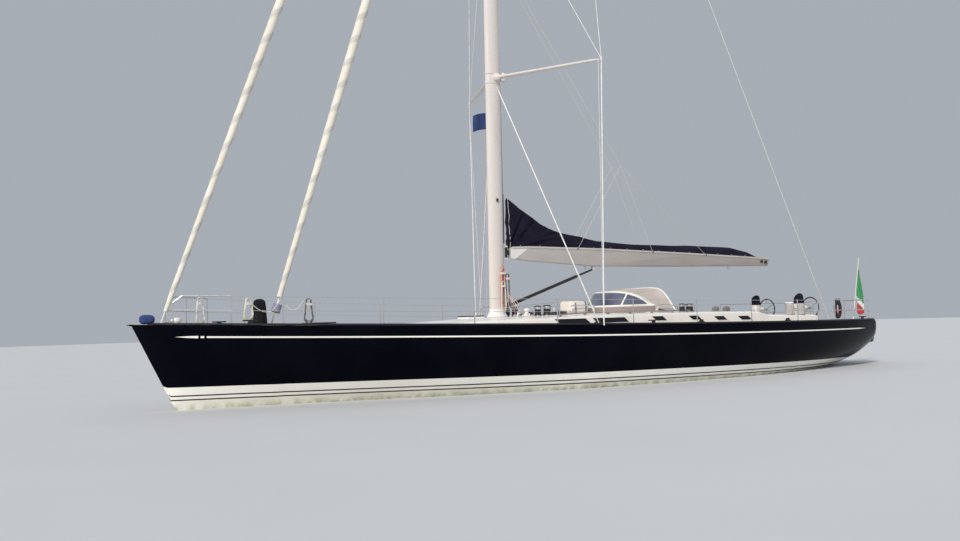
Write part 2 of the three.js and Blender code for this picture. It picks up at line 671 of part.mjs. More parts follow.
// Mast
const mastX = (z) => MAST.x - (z - MAST.footZ) * MAST.rake;

function mastTaper(z) {
  const { fromZ, share } = MAST_TAPER;
  return 1 - share * Math.max((z - fromZ) / (MAST.topZ - fromZ), 0);
}

function mastRing(z, grow) {
  return Array.from({ length: MAST_SIDES }, (_, i) => {
    const angle = (2 * Math.PI * i) / MAST_SIDES;
    const [a, b] = [MAST.halfLength * mastTaper(z) + grow, MAST.halfWidth * mastTaper(z) + grow];
    return [mastX(z) + a * Math.cos(angle), b * Math.sin(angle), z];
  });
}

function mastBody(grow) {
  return loft([MAST.footZ - SEAT_DEPTH, MAST_TAPER.fromZ, MAST.topZ].map((z) => mastRing(z, grow)));
}

const mastCutter = mastBody(GAP * 1.5);

function ears({ radius, bottomZ: low, topZ, ear }) {
  const [back, front] = [SWING_X - radius, mastX(low) - EAR_ROOT];
  const plate = (z) => box(back, front, -radius, radius, z, z + ear);
  return plate(low - ear).add(plate(topZ));
}

function mastPiece() {
  const mast = mastBody(0).add(ears(GOOSENECK)).add(ears(VANG_TOGGLE));
  return addPiece("mast", seatedOn(mast, coachroof), "mastPaint");
}

const spreaderX = (z) => mastX(z) - SPREADER_ROOT.inside;

function spreaderRing(x, y, z, { halfChord, halfDepth }) {
  return Array.from({ length: 8 }, (_, i) => {
    const angle = (Math.PI * i) / 4;
    return [x + halfChord * Math.cos(angle), y, z + halfDepth * Math.sin(angle)];
  });
}

function spreaderPieces() {
  SPREADERS.forEach(({ z, reach, sweep }, k) => {
    for (const { label, sign } of SIDES) {
      const arm = loft([
        spreaderRing(spreaderX(z), 0, z, SPREADER_ROOT),
        spreaderRing(spreaderX(z) - sweep, sign * (reach - SPREADER_TIP.radius - GAP), z, SPREADER_TIP),
      ]);
      addPiece(`spreader_${k + 1}_${label}`, arm.subtract(mastCutter), "mastPaint");
    }
  });
}

function shroudPieces() {
  for (const { label, sign } of SIDES) {
    const tips = SPREADERS.map(({ z, reach, sweep }) => [spreaderX(z) - sweep, sign * reach, z]);
    const foot = [CHAINPLATE.x, sign * CHAINPLATE.capY, deckTopZ(CHAINPLATE.x, CHAINPLATE.capY) - SEAT_DEPTH];
    const head = [mastX(CAP_SHROUD_TOP_Z), 0, CAP_SHROUD_TOP_Z];
    let cap = bentRod([foot, ...tips, head], SHROUD_RADIUS);
    for (const [x, y, z] of tips) {
      const { half, radius } = SPREADER_TIP;
      cap = cap.add(rod([x, y, z - half], [x, y, z + half], radius, 12));
    }
    const { length, radius, lean } = TURNBUCKLE;
    cap = cap.add(rod(foot, [foot[0], foot[1] + sign * lean, foot[2] + length], radius, 8));
    addPiece(`cap_shroud_${label}`, seatedOn(cap.subtract(mastCutter), deckBody), "steel");
    const lowerFoot = [CHAINPLATE.x, sign * CHAINPLATE.lowerY, foot[2]];
    const lowerHead = [mastX(SPREADERS[0].z), 0, SPREADERS[0].z - LOWER_SHROUD_DROP + MAST.halfWidth];
    const lower = rod(lowerFoot, lowerHead, SHROUD_RADIUS, 8).subtract(mastCutter);
    addPiece(`lower_shroud_${label}`, seatedOn(lower, deckBody), "steel");
  }
}

function backstayPiece() {
  const foot = [BACKSTAY.footX, 0, deckTopZ(BACKSTAY.footX, 0) - SEAT_DEPTH];
  const stay = rod(foot, [mastX(BACKSTAY.topZ), 0, BACKSTAY.topZ], SHROUD_RADIUS, 8).subtract(mastCutter);
  addPiece("backstay", seatedOn(stay, deckBody), "steel");
}

// Furled headsails on their stays, the inner one over a drum
function headsailPieces() {
  for (const { name, footX, headZ, start, fullest } of HEADSAILS) {
    const foot = [footX, 0, deckTopZ(footX, 0) - SEAT_DEPTH];
    const head = [mastX(headZ), 0, headZ];
    const length = new THREE.Vector3(...foot).distanceTo(new THREE.Vector3(...head));
    const rows = ROLL.map(([share, wide]) => [fullest * wide, length * (start + share * (1 - start))]);
    const profile = [[0, rows[0][1]], ...rows, [0, rows[rows.length - 1][1]]];
    const roll = new THREE.LatheGeometry(profile.map(([r, h]) => new THREE.Vector2(r, h)), 12);
    const sail = solid(alongLine(roll, foot, head)).add(rod(foot, head, STAY_RADIUS, 8));
    addPiece(name, seatedOn(sail.subtract(mastCutter), deckBody), "sailcloth");
  }
  const { footX, headZ } = HEADSAILS[1];
  const foot = new THREE.Vector3(footX, 0, deckTopZ(footX, 0) - SEAT_DEPTH);
  const head = new THREE.Vector3(mastX(headZ), 0, headZ);
  const along = (distance) => foot.clone().add(head.clone().sub(foot).setLength(distance)).toArray();
  const drum = rod(along(DRUM.above), along(DRUM.above + DRUM.height), DRUM.radius, 16);
  const hole = rod(foot.toArray(), head.toArray(), STAY_RADIUS + GAP * 1.5, 8);
  addPiece("inner_furler_drum", drum.subtract(hole), "black");
}

// Boom on its gooseneck, with the vang below and the sail cover above
const crossPin = ({ x, z }, half, radius, sides = 12) => rod([x, -half, z], [x, half, z], radius, sides);
const crossBore = ({ x, z }, half, radius) => bore([x, -half, z], [x, half, z], radius, 12);

function toggle({ radius, bottomZ: low, topZ, tongueHalf, tongueEndX }, pin) {
  const post = rod([SWING_X, 0, low + GAP], [SWING_X, 0, topZ - GAP], radius, 16);
  const depth = Math.min((topZ - low) / 2 - 8, 60);
  const tongue = box(tongueEndX, SWING_X, -tongueHalf, tongueHalf, pin.z - depth, pin.z + depth);
  return post.add(tongue).subtract(crossBore(pin, 100, pin.radius));
}

function boomSection([x, low, top, topHalf, lowHalf]) {
  const port = [
    [x, lowHalf * 0.6, low],
    [x, lowHalf, low + 25],
    [x, topHalf, top - 45],
    [x, topHalf, top],
  ];
  return [...port, ...port.map(([a, b, c]) => [a, -b, c]).reverse()];
}

const eyePin = { x: VANG_EYE.x, z: VANG_EYE.z };

const boomShell = loft(BOOM.map(boomSection));
const boomNose = box(BOOM_NOSE.backX, SWING_X, -BOOM_NOSE.half, BOOM_NOSE.half, BOOM_NOSE.lowZ, BOOM[0][2]);

function boomPiece() {
  const slotHalf = GOOSENECK.tongueHalf + BOOM_SLOT.side;
  const slotBack = BOOM_PIN.x - BOOM_SLOT.behindPin;
  const slot = box(slotBack, SWING_X, -slotHalf, slotHalf, BOOM_SLOT.lowZ, BOOM_SLOT.topZ);
  const lugs = SIDES.map(({ sign }) => {
    const { half, gap, thickness, drop, topZ } = VANG_LUG;
    const [near, far] = [VANG_EYE.half + gap, VANG_EYE.half + gap + thickness];
    return box(VANG_EYE.x - half, VANG_EYE.x + half, sign * near, sign * far, VANG_EYE.z - drop, topZ);
  });
  return boomShell
    .subtract(slot)
    .add(crossPin(BOOM_PIN, GOOSENECK.tongueHalf + 12, BOOM_PIN.radius))
    .add(lugs[0])
    .add(lugs[1])
    .add(crossPin(eyePin, VANG_EYE.half + 12, VANG_EYE.pinRadius));
}

function coverSection([x, crest, footHalf, crestHalf]) {
  const low = readTable(BOOM, x, 2) - SEAT_DEPTH;
  const lean = (z) => x - (x > COVER_LEAN.fromX ? COVER_LEAN.share * (z - low) : 0);
  const middle = low + (crest - low) * 0.45;
  const port = [
    [x, footHalf, low],
    [lean(middle), footHalf * 0.55 + crestHalf * 0.65, middle],
    [lean(crest - 40), crestHalf, crest - 40],
    [lean(crest), crestHalf * 0.4, crest],
  ];
  return [...port, ...port.map(([a, b, c]) => [a, -b, c]).reverse()];
}

function vangPieces() {
  const base = new THREE.Vector3(VANG_PIN.x, 0, VANG_PIN.z);
  const line = new THREE.Vector3(VANG_EYE.x, 0, VANG_EYE.z).sub(base);
  const reach = line.length();
  const at = (distance) => base.clone().add(line.clone().setLength(distance)).toArray();
  const cheekHalf = VANG_TOGGLE.tongueHalf + 20;
  const foot = rod(at(-30), at(VANG_TUBE.start + 40), cheekHalf, 12);
  const slotHalf = VANG_TOGGLE.tongueHalf + 5;
  const { x, z } = VANG_PIN;
  const slot = box(x - 60, x + 180, -slotHalf, slotHalf, z - 160, z + 240);
  const tube = foot
    .subtract(slot)
    .add(crossPin(VANG_PIN, VANG_TOGGLE.tongueHalf + 8, VANG_PIN.radius))
    .add(rod(at(VANG_TUBE.start), at(VANG_TUBE.end), VANG_TUBE.radius, 16))
    .subtract(bore(at(VANG_TUBE.end - VANG_TUBE.bore), at(VANG_TUBE.end + 50), VANG_ROD.radius, 16));
  addPiece("vang_tube", tube, "black");
  const eye = crossPin(eyePin, VANG_EYE.half, VANG_ROD.radius + 4, 16);
  const plunger = rod(at(VANG_TUBE.end - VANG_ROD.inside), at(reach - 75), VANG_ROD.radius, 16)
    .add(rod(at(reach - 90), at(reach), VANG_EYE.half, 8))
    .add(eye)
    .subtract(crossPin(eyePin, 100, VANG_EYE.holeRadius, 16));
  addPiece("vang_rod", plunger, "steel");
}

function boomPieces() {
  addPiece("gooseneck_toggle", toggle(GOOSENECK, BOOM_PIN), "black");
  addPiece("vang_toggle", toggle(VANG_TOGGLE, VANG_PIN), "black");
  addPiece("boom", boomPiece(), "boomPaint");
  addPiece("sail_cover", seatedOn(loft(COVER.map(coverSection)), boomShell.add(boomNose)), "navyCanvas");
  vangPieces();
}

// Rails, lifelines and toe rails
const railPoint = (x, sign, height) => [x, sign * (deckHalfBeam(x) - RAIL.inset), sheerZ(x) + height];

function post(x, y, top, radius) {
  return rod([x, y, deckTopZ(x, y) - SEAT_DEPTH], [x, y, top], radius, 8);
}

// Two open halves ahead of the lifelines, joined by a low bar behind the outer stay
function pulpitPiece() {
  const { aftX, middleX, bendX, frontX, bendDrop, barHeight } = PULPIT;
  const radius = END_RAIL_RADIUS;
  const ends = SIDES.map(({ sign }) => railPoint(frontX, sign, barHeight));
  let pulpit = rod(ends[0], ends[1], radius * LOW_RAIL, 8);
  for (const { sign } of SIDES) {
    const [, frontY] = railPoint(frontX, sign, 0);
    const foot = [frontX, frontY, deckTopZ(frontX, frontY) - SEAT_DEPTH];
    const leg = [railPoint(frontX, sign, RAIL.height - bendDrop), foot];
    const top = [aftX, middleX, bendX].map((x) => railPoint(x, sign, RAIL.height));
    const low = [aftX, middleX, frontX].map((x) => railPoint(x, sign, RAIL.middle));
    pulpit = pulpit.add(bentRod([...top, ...leg], radius)).add(bentRod(low, radius * LOW_RAIL));
    for (const x of [aftX, middleX]) {
      const [, y, topZ] = railPoint(x, sign, RAIL.height);
      pulpit = pulpit.add(post(x, y, topZ, radius * RAIL_POST));
    }
  }
  return addPiece("pulpit", seatedOn(pulpit, deckBody), "steel");
}

function pushpitPiece({ label, sign }) {
  const { frontX, middleX, aftX, endX, endInset, endY } = PUSHPIT;
  const radius = END_RAIL_RADIUS;
  const along = [frontX, middleX, aftX];
  const rail = (height) => [
    ...along.map((x) => railPoint(x, sign, height)),
    [endX, sign * (deckHalfBeam(endX) - endInset), sheerZ(endX) + height],
    [endX, sign * endY, sheerZ(endX) + height],
  ];
  let rails = bentRod(rail(RAIL.height), radius).add(bentRod(rail(RAIL.middle), radius * LOW_RAIL));
  for (const x of along) {
    const [, y, top] = railPoint(x, sign, RAIL.height);
    rails = rails.add(post(x, y, top, radius * RAIL_POST));
  }
  rails = rails.add(post(endX, sign * endY, sheerZ(endX) + RAIL.height, radius * RAIL_POST));
  return addPiece(`pushpit_${label}`, seatedOn(rails, deckBody), "steel");
}

function lifelinePiece({ label, sign }, pulpit, pushpit) {
  const ends = [PULPIT.aftX, ...STANCHIONS, PUSHPIT.frontX];
  let rails;
  for (const x of STANCHIONS) {
    const [, y, top] = railPoint(x, sign, RAIL.height);
    const stanchion = post(x, y, top + STANCHION_HEAD, RAIL.postRadius);
    rails = rails ? rails.add(stanchion) : stanchion;
  }
  for (const height of [RAIL.height - WIRE_DROP, RAIL.middle]) {
    for (let i = 0; i + 1 < ends.length; i++) {
      const [from, to] = [railPoint(ends[i], sign, height), railPoint(ends[i + 1], sign, height)];
      rails = rails.add(rod(from, to, RAIL.wireRadius));
    }
  }
  const clear = (x) => {
    const [, y] = railPoint(x, sign, 0);
    return bore([x, y, RAIL_ENDS.lowZ], [x, y, RAIL_ENDS.topZ], END_RAIL_RADIUS, 16);
  };
  rails = rails.subtract(clear(PULPIT.aftX)).subtract(clear(PUSHPIT.frontX));
  addPiece(`lifelines_${label}`, seatedOn(rails.subtract(pulpit).subtract(pushpit), deckBody), "steel");
}

function cleat(x, sign) {
  const { length, width, hornLow, hornTop, footLength, footDepth } = CLEAT;
  const y = sign * (deckHalfBeam(x) - TOE_RAIL.width);
  const z = sheerZ(x) + TOE_RAIL.height;
  const [near, far] = [y - width / 2, y + width / 2];
  const part = (reach, low, top) => box(x - reach / 2, x + reach / 2, near, far, z + low, z + top);
  return part(length, hornLow, hornTop).add(part(footLength, -footDepth, hornLow + 1));
}

function toeRailPiece({ label, sign }) {
  const between = STATIONS.filter((x) => x < TOE_RAIL.front && x > TOE_RAIL.back);
  const rings = [TOE_RAIL.front, ...between, TOE_RAIL.back].map((x) => {
    const outer = deckHalfBeam(x) - TOE_RAIL.inset;
    const inner = outer - TOE_RAIL.width;
    const [low, top] = [sheerZ(x) - SEAT_DEPTH, sheerZ(x) + TOE_RAIL.height];
    return [[outer, low], [outer, top], [inner, top], [inner, low]].map(([y, z]) => [x, sign * y, z]);
  });
  const rail = CLEATS.reduce((made, x) => made.add(cleat(x, sign)), loft(rings));
  addPiece(`toe_rail_${label}`, seatedOn(rail, deckBody), "steel");
}

// Sprayhood canvas over the companionway, on arches that the windscreen's top follows
function hoopPoint([crownX, footX, crownZ, footZ, half, taper, roundness], share, inset) {
  const angle = Math.PI * share;
  const up = Math.sin(angle) ** roundness;
  const across = Math.sign(Math.cos(angle)) * Math.abs(Math.cos(angle)) ** roundness;
  const y = (half - inset - taper * up) * across;
  const x = crownX + (footX - crownX) * Math.abs(y / half) ** HOOP_SWEEP;
  return [x, y, footZ + (crownZ - inset - footZ) * up];
}

function windscreenPiece() {
  const low = SCREEN_BASE.z + GAP;
  const strips = Array.from({ length: HOOP_STEPS + 1 }, (_, k) => {
    const [x, y, z] = hoopPoint(HOOPS[0], k / HOOP_STEPS, CANVAS_THICKNESS);
    const lowX = screenBaseX(y) - SCREEN.setBack;
    const topX = Math.min(x + SCREEN.ahead, lowX);
    const topZ = Math.max(z, low + SCREEN.least);
    return [
      [lowX, y, low],
      [topX, y, topZ],
      [topX - SCREEN.thickness, y, topZ],
      [lowX - SCREEN.thickness, y, low],
    ];
  });
  const glass = loft(strips).subtract(underHoops(-GAP, GAP * 3, SEAT_DEPTH));
  addPiece("windscreen", glass, "glass");
}

// The space under the hoops, made smaller by an inset and longer by a reach at each end
function underHoops(inset, reach, lowered) {
  return loft(
    HOOPS.map((hoop, i) => {
      const shift = [reach, 0, -reach][i];
      const shares = Array.from({ length: HOOP_STEPS + 1 }, (_, k) => k / HOOP_STEPS);
      const arch = shares.map((share) => hoopPoint(hoop, share, inset));
      const feet = [arch[HOOP_STEPS], arch[0]].map(([x, y, z]) => [x, y, z - lowered]);
      return [...arch, ...feet].map(([x, y, z]) => [x + shift, y, z]);
    }),
  );
}

function sprayhoodPiece() {
  const canvas = underHoops(0, 0, SEAT_DEPTH).subtract(underHoops(CANVAS_THICKNESS, 40, 80));
  const apart = [[0, 0, 1], [-1, 0, 0], [0, 1, 0], [0, -1, 0]];
  const clear = apart.reduce((made, direction) => seatedOn(made, coachroof, direction), canvas);
  addPiece("sprayhood", clear, "beigeCanvas");
}

// Helm stations, winches, life raft and the gear at the stern
function roundedBox(halfX, halfY, corner, height) {
  const shape = new THREE.Shape();
  const [x, y] = [halfX - corner, halfY - corner];
  shape.absarc(x, y, corner, 0, Math.PI / 2);
  shape.absarc(-x, y, corner, Math.PI / 2, Math.PI);
  shape.absarc(-x, -y, corner, Math.PI, 1.5 * Math.PI);
  shape.absarc(x, -y, corner, 1.5 * Math.PI, 2 * Math.PI);
  return new THREE.ExtrudeGeometry(shape, { depth: height, bevelEnabled: false, curveSegments: 4 });
}

function helmPieces({ label, sign }) {
  const { x, y, halfX, halfY, topZ, corner } = PEDESTAL;
  const foot = HELM.soleZ + GAP;
  const pedestal = solid(roundedBox(halfX, halfY, corner, topZ - foot).translate(x, sign * y, foot));
  addPiece(`helm_pedestal_${label}`, pedestal, "white");
  const pod = roundedBox(HELM_COVER.halfX, HELM_COVER.halfY, HELM_COVER.corner, HELM_COVER.height);
  addPiece(`helm_cover_${label}`, solid(pod.translate(x, sign * y, topZ + GAP)), "navyCanvas");
  const centre = [WHEEL.x, sign * y, WHEEL.z];
  const reach = WHEEL.radius - WHEEL.rim;
  const rim = new THREE.TorusGeometry(reach, WHEEL.rim, 6, 32).rotateY(Math.PI / 2).translate(...centre);
  const shaftEnds = [WHEEL.x - WHEEL.hubBack, x - halfX - GAP].map((end) => [end, sign * y, WHEEL.z]);
  let wheel = solid(rim).add(rod(...shaftEnds, WHEEL.hub, 12));
  for (let k = 0; k < WHEEL.spokes; k++) {
    const angle = (2 * Math.PI * k) / WHEEL.spokes;
    const end = [WHEEL.x, sign * y + reach * Math.sin(angle), WHEEL.z + reach * Math.cos(angle)];
    wheel = wheel.add(rod(centre, end, WHEEL.rim * 0.6));
  }
  addPiece(`wheel_${label}`, wheel, "steel");
}

function winchPieces({ label, sign }) {
  for (const { name, x, y, radius, height } of WINCHES) {
    const roof = readTable(COACHROOF, x, 2);
    const rows = WINCH_PROFILE.map(([r, h]) => [r * radius, h * (height + SEAT_DEPTH) - SEAT_DEPTH]);
    addPiece(`${name}_${label}`, seatedOn(turned(rows, x, sign * y, roof), coachroof), "steel");
  }
}

function raftPiece() {
  const foot = readTable(COACHROOF, RAFT.x, 2);
  const canister = roundedBox(RAFT.halfX, RAFT.halfY, RAFT.corner, RAFT.topZ - foot);
  addPiece("life_raft", seatedOn(solid(canister.translate(RAFT.x, 0, foot)), coachroof), "raft");
}

function sternPieces() {
  const [frontY, backY] = [PUSHPIT.frontX, PUSHPIT.middleX].map((x) => railPoint(x, 1, 0)[1]);
  const slope = (frontY - backY) / (PUSHPIT.frontX - PUSHPIT.middleX);
  const railY = frontY + (LIFEBUOY.x - PUSHPIT.frontX) * slope;
  const inset = (END_RAIL_RADIUS + GAP * 2 + LIFEBUOY.halfY) / Math.cos(Math.atan(slope));
  const buoy = roundedBox(LIFEBUOY.halfX, LIFEBUOY.halfY, LIFEBUOY.corner, LIFEBUOY.topZ - LIFEBUOY.bottomZ);
  buoy.rotateZ(Math.atan(slope)).translate(LIFEBUOY.x, railY - inset, LIFEBUOY.bottomZ);
  addPiece("lifebuoy", solid(buoy), "red");
  const foot = [STAFF.x, STAFF.y, deckTopZ(STAFF.x, STAFF.y) - SEAT_DEPTH];
  const staff = rod(foot, [STAFF.topX, STAFF.y, STAFF.topZ], STAFF.radius, 16);
  addPiece("ensign_staff", seatedOn(staff, deckBody), "white");
  const staffX = (z) => STAFF.x + ((STAFF.topX - STAFF.x) * (z - foot[2])) / (STAFF.topZ - foot[2]);
  const rings = [ENSIGN.topZ, ENSIGN.bottomZ].map((z, k) => {
    const front = staffX(ENSIGN.topZ) - STAFF.radius * 1.02 - GAP;
    const half = ENSIGN.halfY * (k ? 1 : ENSIGN.topShare);
    const back = front - 2 * ENSIGN.halfX;
    const corners = [[front, half], [front, -half], [back, -half], [back, half]];
    return corners.map(([x, dy]) => [x, STAFF.y + dy, z]);
  });
  addPiece("ensign", loft(rings).subtract(staff), "flag");
}

companionPieces();
hatchLids();
keelPieces();
rudderPiece();
propellerPieces();
mastPiece();
spreaderPieces();
shroudPieces();
backstayPiece();
headsailPieces();
boomPieces();
const pulpit = pulpitPiece();
const pushpits = SIDES.map(pushpitPiece);
SIDES.forEach((side, k) => lifelinePiece(side, pulpit, pushpits[k]));
SIDES.forEach(toeRailPiece);
windscreenPiece();
sprayhoodPiece();
SIDES.forEach(helmPieces);
SIDES.forEach(winchPieces);
raftPiece();
sternPieces();

export default yacht;
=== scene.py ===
"""A sailing yacht afloat, with its mainsail under a cover, its headsails furled and its sprayhood up."""

import bisect
import math

import bmesh
import bpy
from mathutils import Matrix, Vector, noise
from mathutils.bvhtree import BVHTree


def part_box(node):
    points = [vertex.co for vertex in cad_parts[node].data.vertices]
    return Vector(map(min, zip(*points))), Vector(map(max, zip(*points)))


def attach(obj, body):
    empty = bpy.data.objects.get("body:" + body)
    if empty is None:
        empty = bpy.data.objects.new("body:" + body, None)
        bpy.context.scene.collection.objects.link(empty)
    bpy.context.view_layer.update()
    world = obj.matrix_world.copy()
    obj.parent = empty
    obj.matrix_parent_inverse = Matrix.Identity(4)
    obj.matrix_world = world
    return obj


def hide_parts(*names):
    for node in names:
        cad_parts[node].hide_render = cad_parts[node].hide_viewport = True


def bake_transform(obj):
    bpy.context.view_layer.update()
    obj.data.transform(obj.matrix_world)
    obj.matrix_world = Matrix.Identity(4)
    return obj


IMAGE_WIDTH = 960
SENSOR_MM = 36.0

# Camera, found from the hull's edges, mast and boom in the photograph
CAMERA_PLACE = (18.50, 22.97, 1.73)
CAMERA_YAW = 0.595
CAMERA_PITCH = 0.0486
CAMERA_ROLL = -0.0299
FOCAL_PIXELS = 1059.534

# Hull form, in metres
LENGTH = 24.0
BOW_X = 12.0
TRANSOM_TOP_X = -11.32
STERN_X = -12.0
HALF_BEAM = 2.975
TRANSOM_HALF_BEAM = 1.4
WIDEST_AT = 0.6
SHEER_BOW = 1.896
SHEER_STERN = 1.439
SHEER_SAG = 0.108
STEM_FOOT_X = 11.06
COUNTER_X = -10.4
DEEPEST_X = 0.33
BODY_DRAFT = 0.78
STERN_TIP_Z = 0.71
DECK_THICKNESS = 0.04
DECK_CAMBER = 0.06
# x, then the two exponents of a section
FULLNESS = [(12.0, 1.0, 1.0), (9.0, 1.25, 1.15), (6.0, 1.8, 1.5), (1.5, 3.3, 2.2), (-5.0, 3.3, 2.2),
            (-12.0, 2.6, 1.9)]
SKIN_GAP = 0.003  # least distance of the painted skin from the solid hull, and its thickness
STERN_EXTRA_GAP = 0.008  # added where the solid's corners at the stern are sharp
HULL_STATIONS = 150
BOTTOM_ROWS = 16
TOPSIDE_ROWS = 24
TAIL_COLUMNS = 24

# Paint lines: height amidships, rise for each metre forward and, for a stripe, its half width
LOWER_STRIPE = (0.137, 0.008, 0.015)
UPPER_STRIPE = (0.225, 0.0082, 0.015)
BOOT_TOP = (0.387, 0.0107)
COVE_BELOW_SHEER = 0.26
# x, half width of the cove stripe
COVE = [(11.17, 0.0), (10.95, 0.017), (10.72, 0.026), (10.711, 0.0), (10.671, 0.0), (10.67, 0.021),
        (10.60, 0.021), (10.599, 0.0), (10.551, 0.0), (10.55, 0.018), (-9.9, 0.018), (-10.48, 0.0)]

# Coachroof: x, half width at the deck, height of the top edge
COACHROOF = [(5.25, 0.16, 1.69), (5.24, 0.26, 1.691), (5.2, 0.43, 1.693), (5.1, 0.66, 1.697),
             (4.95, 0.835, 1.704), (4.78, 1.0, 1.712), (4.5, 1.16, 1.726), (4.1, 1.33, 1.745),
             (3.49, 1.5, 1.77), (2.6, 1.625, 1.783), (1.61, 1.71, 1.795), (0.61, 1.77, 1.83),
             (-3.43, 1.79, 1.83), (-5.75, 1.77, 1.8), (-6.2, 1.755, 1.69), (-7.1, 1.73, 1.67),
             (-8.4, 1.665, 1.655), (-8.5, 1.66, 1.64)]
ROOF_CAMBER = 0.06
ROOF_SHOULDER = 0.15
WALL_LEAN = 0.04
SHOULDER_DROP = 0.05
# Windows in the coachroof's side: front, back, low and high edge
WINDOWS = [(1.83, 0.71, 1.615, 1.745), (0.64, -0.61, 1.615, 1.745), (-1.44, -1.99, 1.625, 1.745),
           (-2.81, -3.32, 1.62, 1.735), (-3.81, -4.35, 1.585, 1.70), (-4.80, -5.38, 1.57, 1.685)]
WINDOW_SLANT = 0.16  # the low edge lies this far aft of the high one
WINDOW_SEAT = -0.004  # where a plate starts, measured out from the wall
FRAME_WIDTH = 0.045
FRAME_RIM = 0.012

# Mast and rig
MAST_X = 2.447
MAST_FOOT_Z = 1.8
MAST_TOP_Z = 27.8
MAST_RAKE = 0.0131
MAST_HALF_LENGTH = 0.23
MAST_HALF_WIDTH = 0.125
MAST_TAPER_Z = 24.0
SPREADERS = [(8.23, 3.0, 1.22), (14.4, 2.56, 1.04), (20.4, 1.96, 0.8)]  # z, reach, sweep aft
CHAINPLATE_X = 1.22
CHAINPLATE_Y = 2.7
CAP_CHAINPLATE_Y = 2.86
SPREADER_ROOT = (0.12, 0.055)  # half chord and half depth
SPREADER_TIP = (0.05, 0.036)
SPREADER_GAP = 0.031  # room for the shroud at a spreader's tip
SHROUD_COVER = {"radius": 0.017, "start": 0.36, "cap_end": 0.985, "lower_end": 0.94}
# name, foot x, head z, start of the roll on the stay, fullest radius, turns of the spiral
HEADSAILS = [("outer_headsail", 11.37, 24.9, 0.012, 0.11, 34),
             ("inner_headsail", 8.81, 20.7, 0.033, 0.112, 30)]
# share of the stay, and the roll's radius there as a share of the fullest
ROLL = [(0.0, 0.3), (0.03, 0.55), (0.3, 0.95), (0.42, 1.0), (0.7, 0.68), (0.93, 0.36), (0.96, 0.2)]
ROLL_SIDES = 28
ROLL_STEPS = 520
LEAST_SWELL = 0.18
SUN_STRIP_START = 0.72  # share of a turn from which the leech shows its strip

# Boom: x, bottom z, top z, half width at the top, half width at the bottom
BOOM = [(2.0, 3.405, 3.7, 0.095, 0.06), (1.4, 3.33, 3.715, 0.17, 0.07), (-0.97, 3.2, 3.69, 0.225, 0.075),
        (-4.5, 3.215, 3.6, 0.225, 0.075), (-8.08, 3.25, 3.49, 0.165, 0.07)]
# Sail cover: x, height of the crest, half width at the boom, half width at the crest
COVER = [(2.03, 5.03, 0.06, 0.036), (1.65, 4.78, 0.125, 0.058), (1.21, 4.53, 0.16, 0.066),
         (0.95, 4.365, 0.172, 0.069), (0.56, 4.2, 0.18, 0.072), (0.1, 4.11, 0.195, 0.075),
         (-1.0, 3.93, 0.215, 0.08), (-2.44, 3.845, 0.215, 0.08), (-5.18, 3.845, 0.205, 0.078),
         (-6.44, 3.815, 0.19, 0.07), (-7.15, 3.69, 0.175, 0.064), (-7.56, 3.55, 0.165, 0.06)]
COVER_CORNER = (2.1, 0.12)  # x, and depth under the boom's top, of the point that the folds fan from

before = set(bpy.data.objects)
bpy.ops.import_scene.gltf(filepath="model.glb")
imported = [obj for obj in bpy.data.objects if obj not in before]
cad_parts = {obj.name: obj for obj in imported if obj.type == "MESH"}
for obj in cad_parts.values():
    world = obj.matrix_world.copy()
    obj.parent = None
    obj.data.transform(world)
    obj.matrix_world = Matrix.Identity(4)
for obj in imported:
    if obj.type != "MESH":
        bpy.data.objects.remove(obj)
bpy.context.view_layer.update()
ROOT = "yacht"
SIDES = (("port", 1), ("starboard", -1))


def read_table(rows, x, column):
    """Straight-line reading of a table whose first column falls."""
    for a, b in zip(rows, rows[1:]):
        share = (x - a[0]) / (b[0] - a[0])
        if share <= 1:
            return a[column] + (b[column] - a[column]) * max(share, 0.0)
    return rows[-1][column]


def smooth_step(low, high, value):
    share = min(max((value - low) / (high - low), 0.0), 1.0)
    return share * share * (3 - 2 * share)


def angles(count):
    """Directions spaced evenly round a circle."""
    return [2 * math.pi * i / count for i in range(count)]


def squared(value, power):
    """A sine or cosine flattened by a power below 1, which turns a circle into a rounded square."""
    return math.copysign(abs(value) ** power, value)


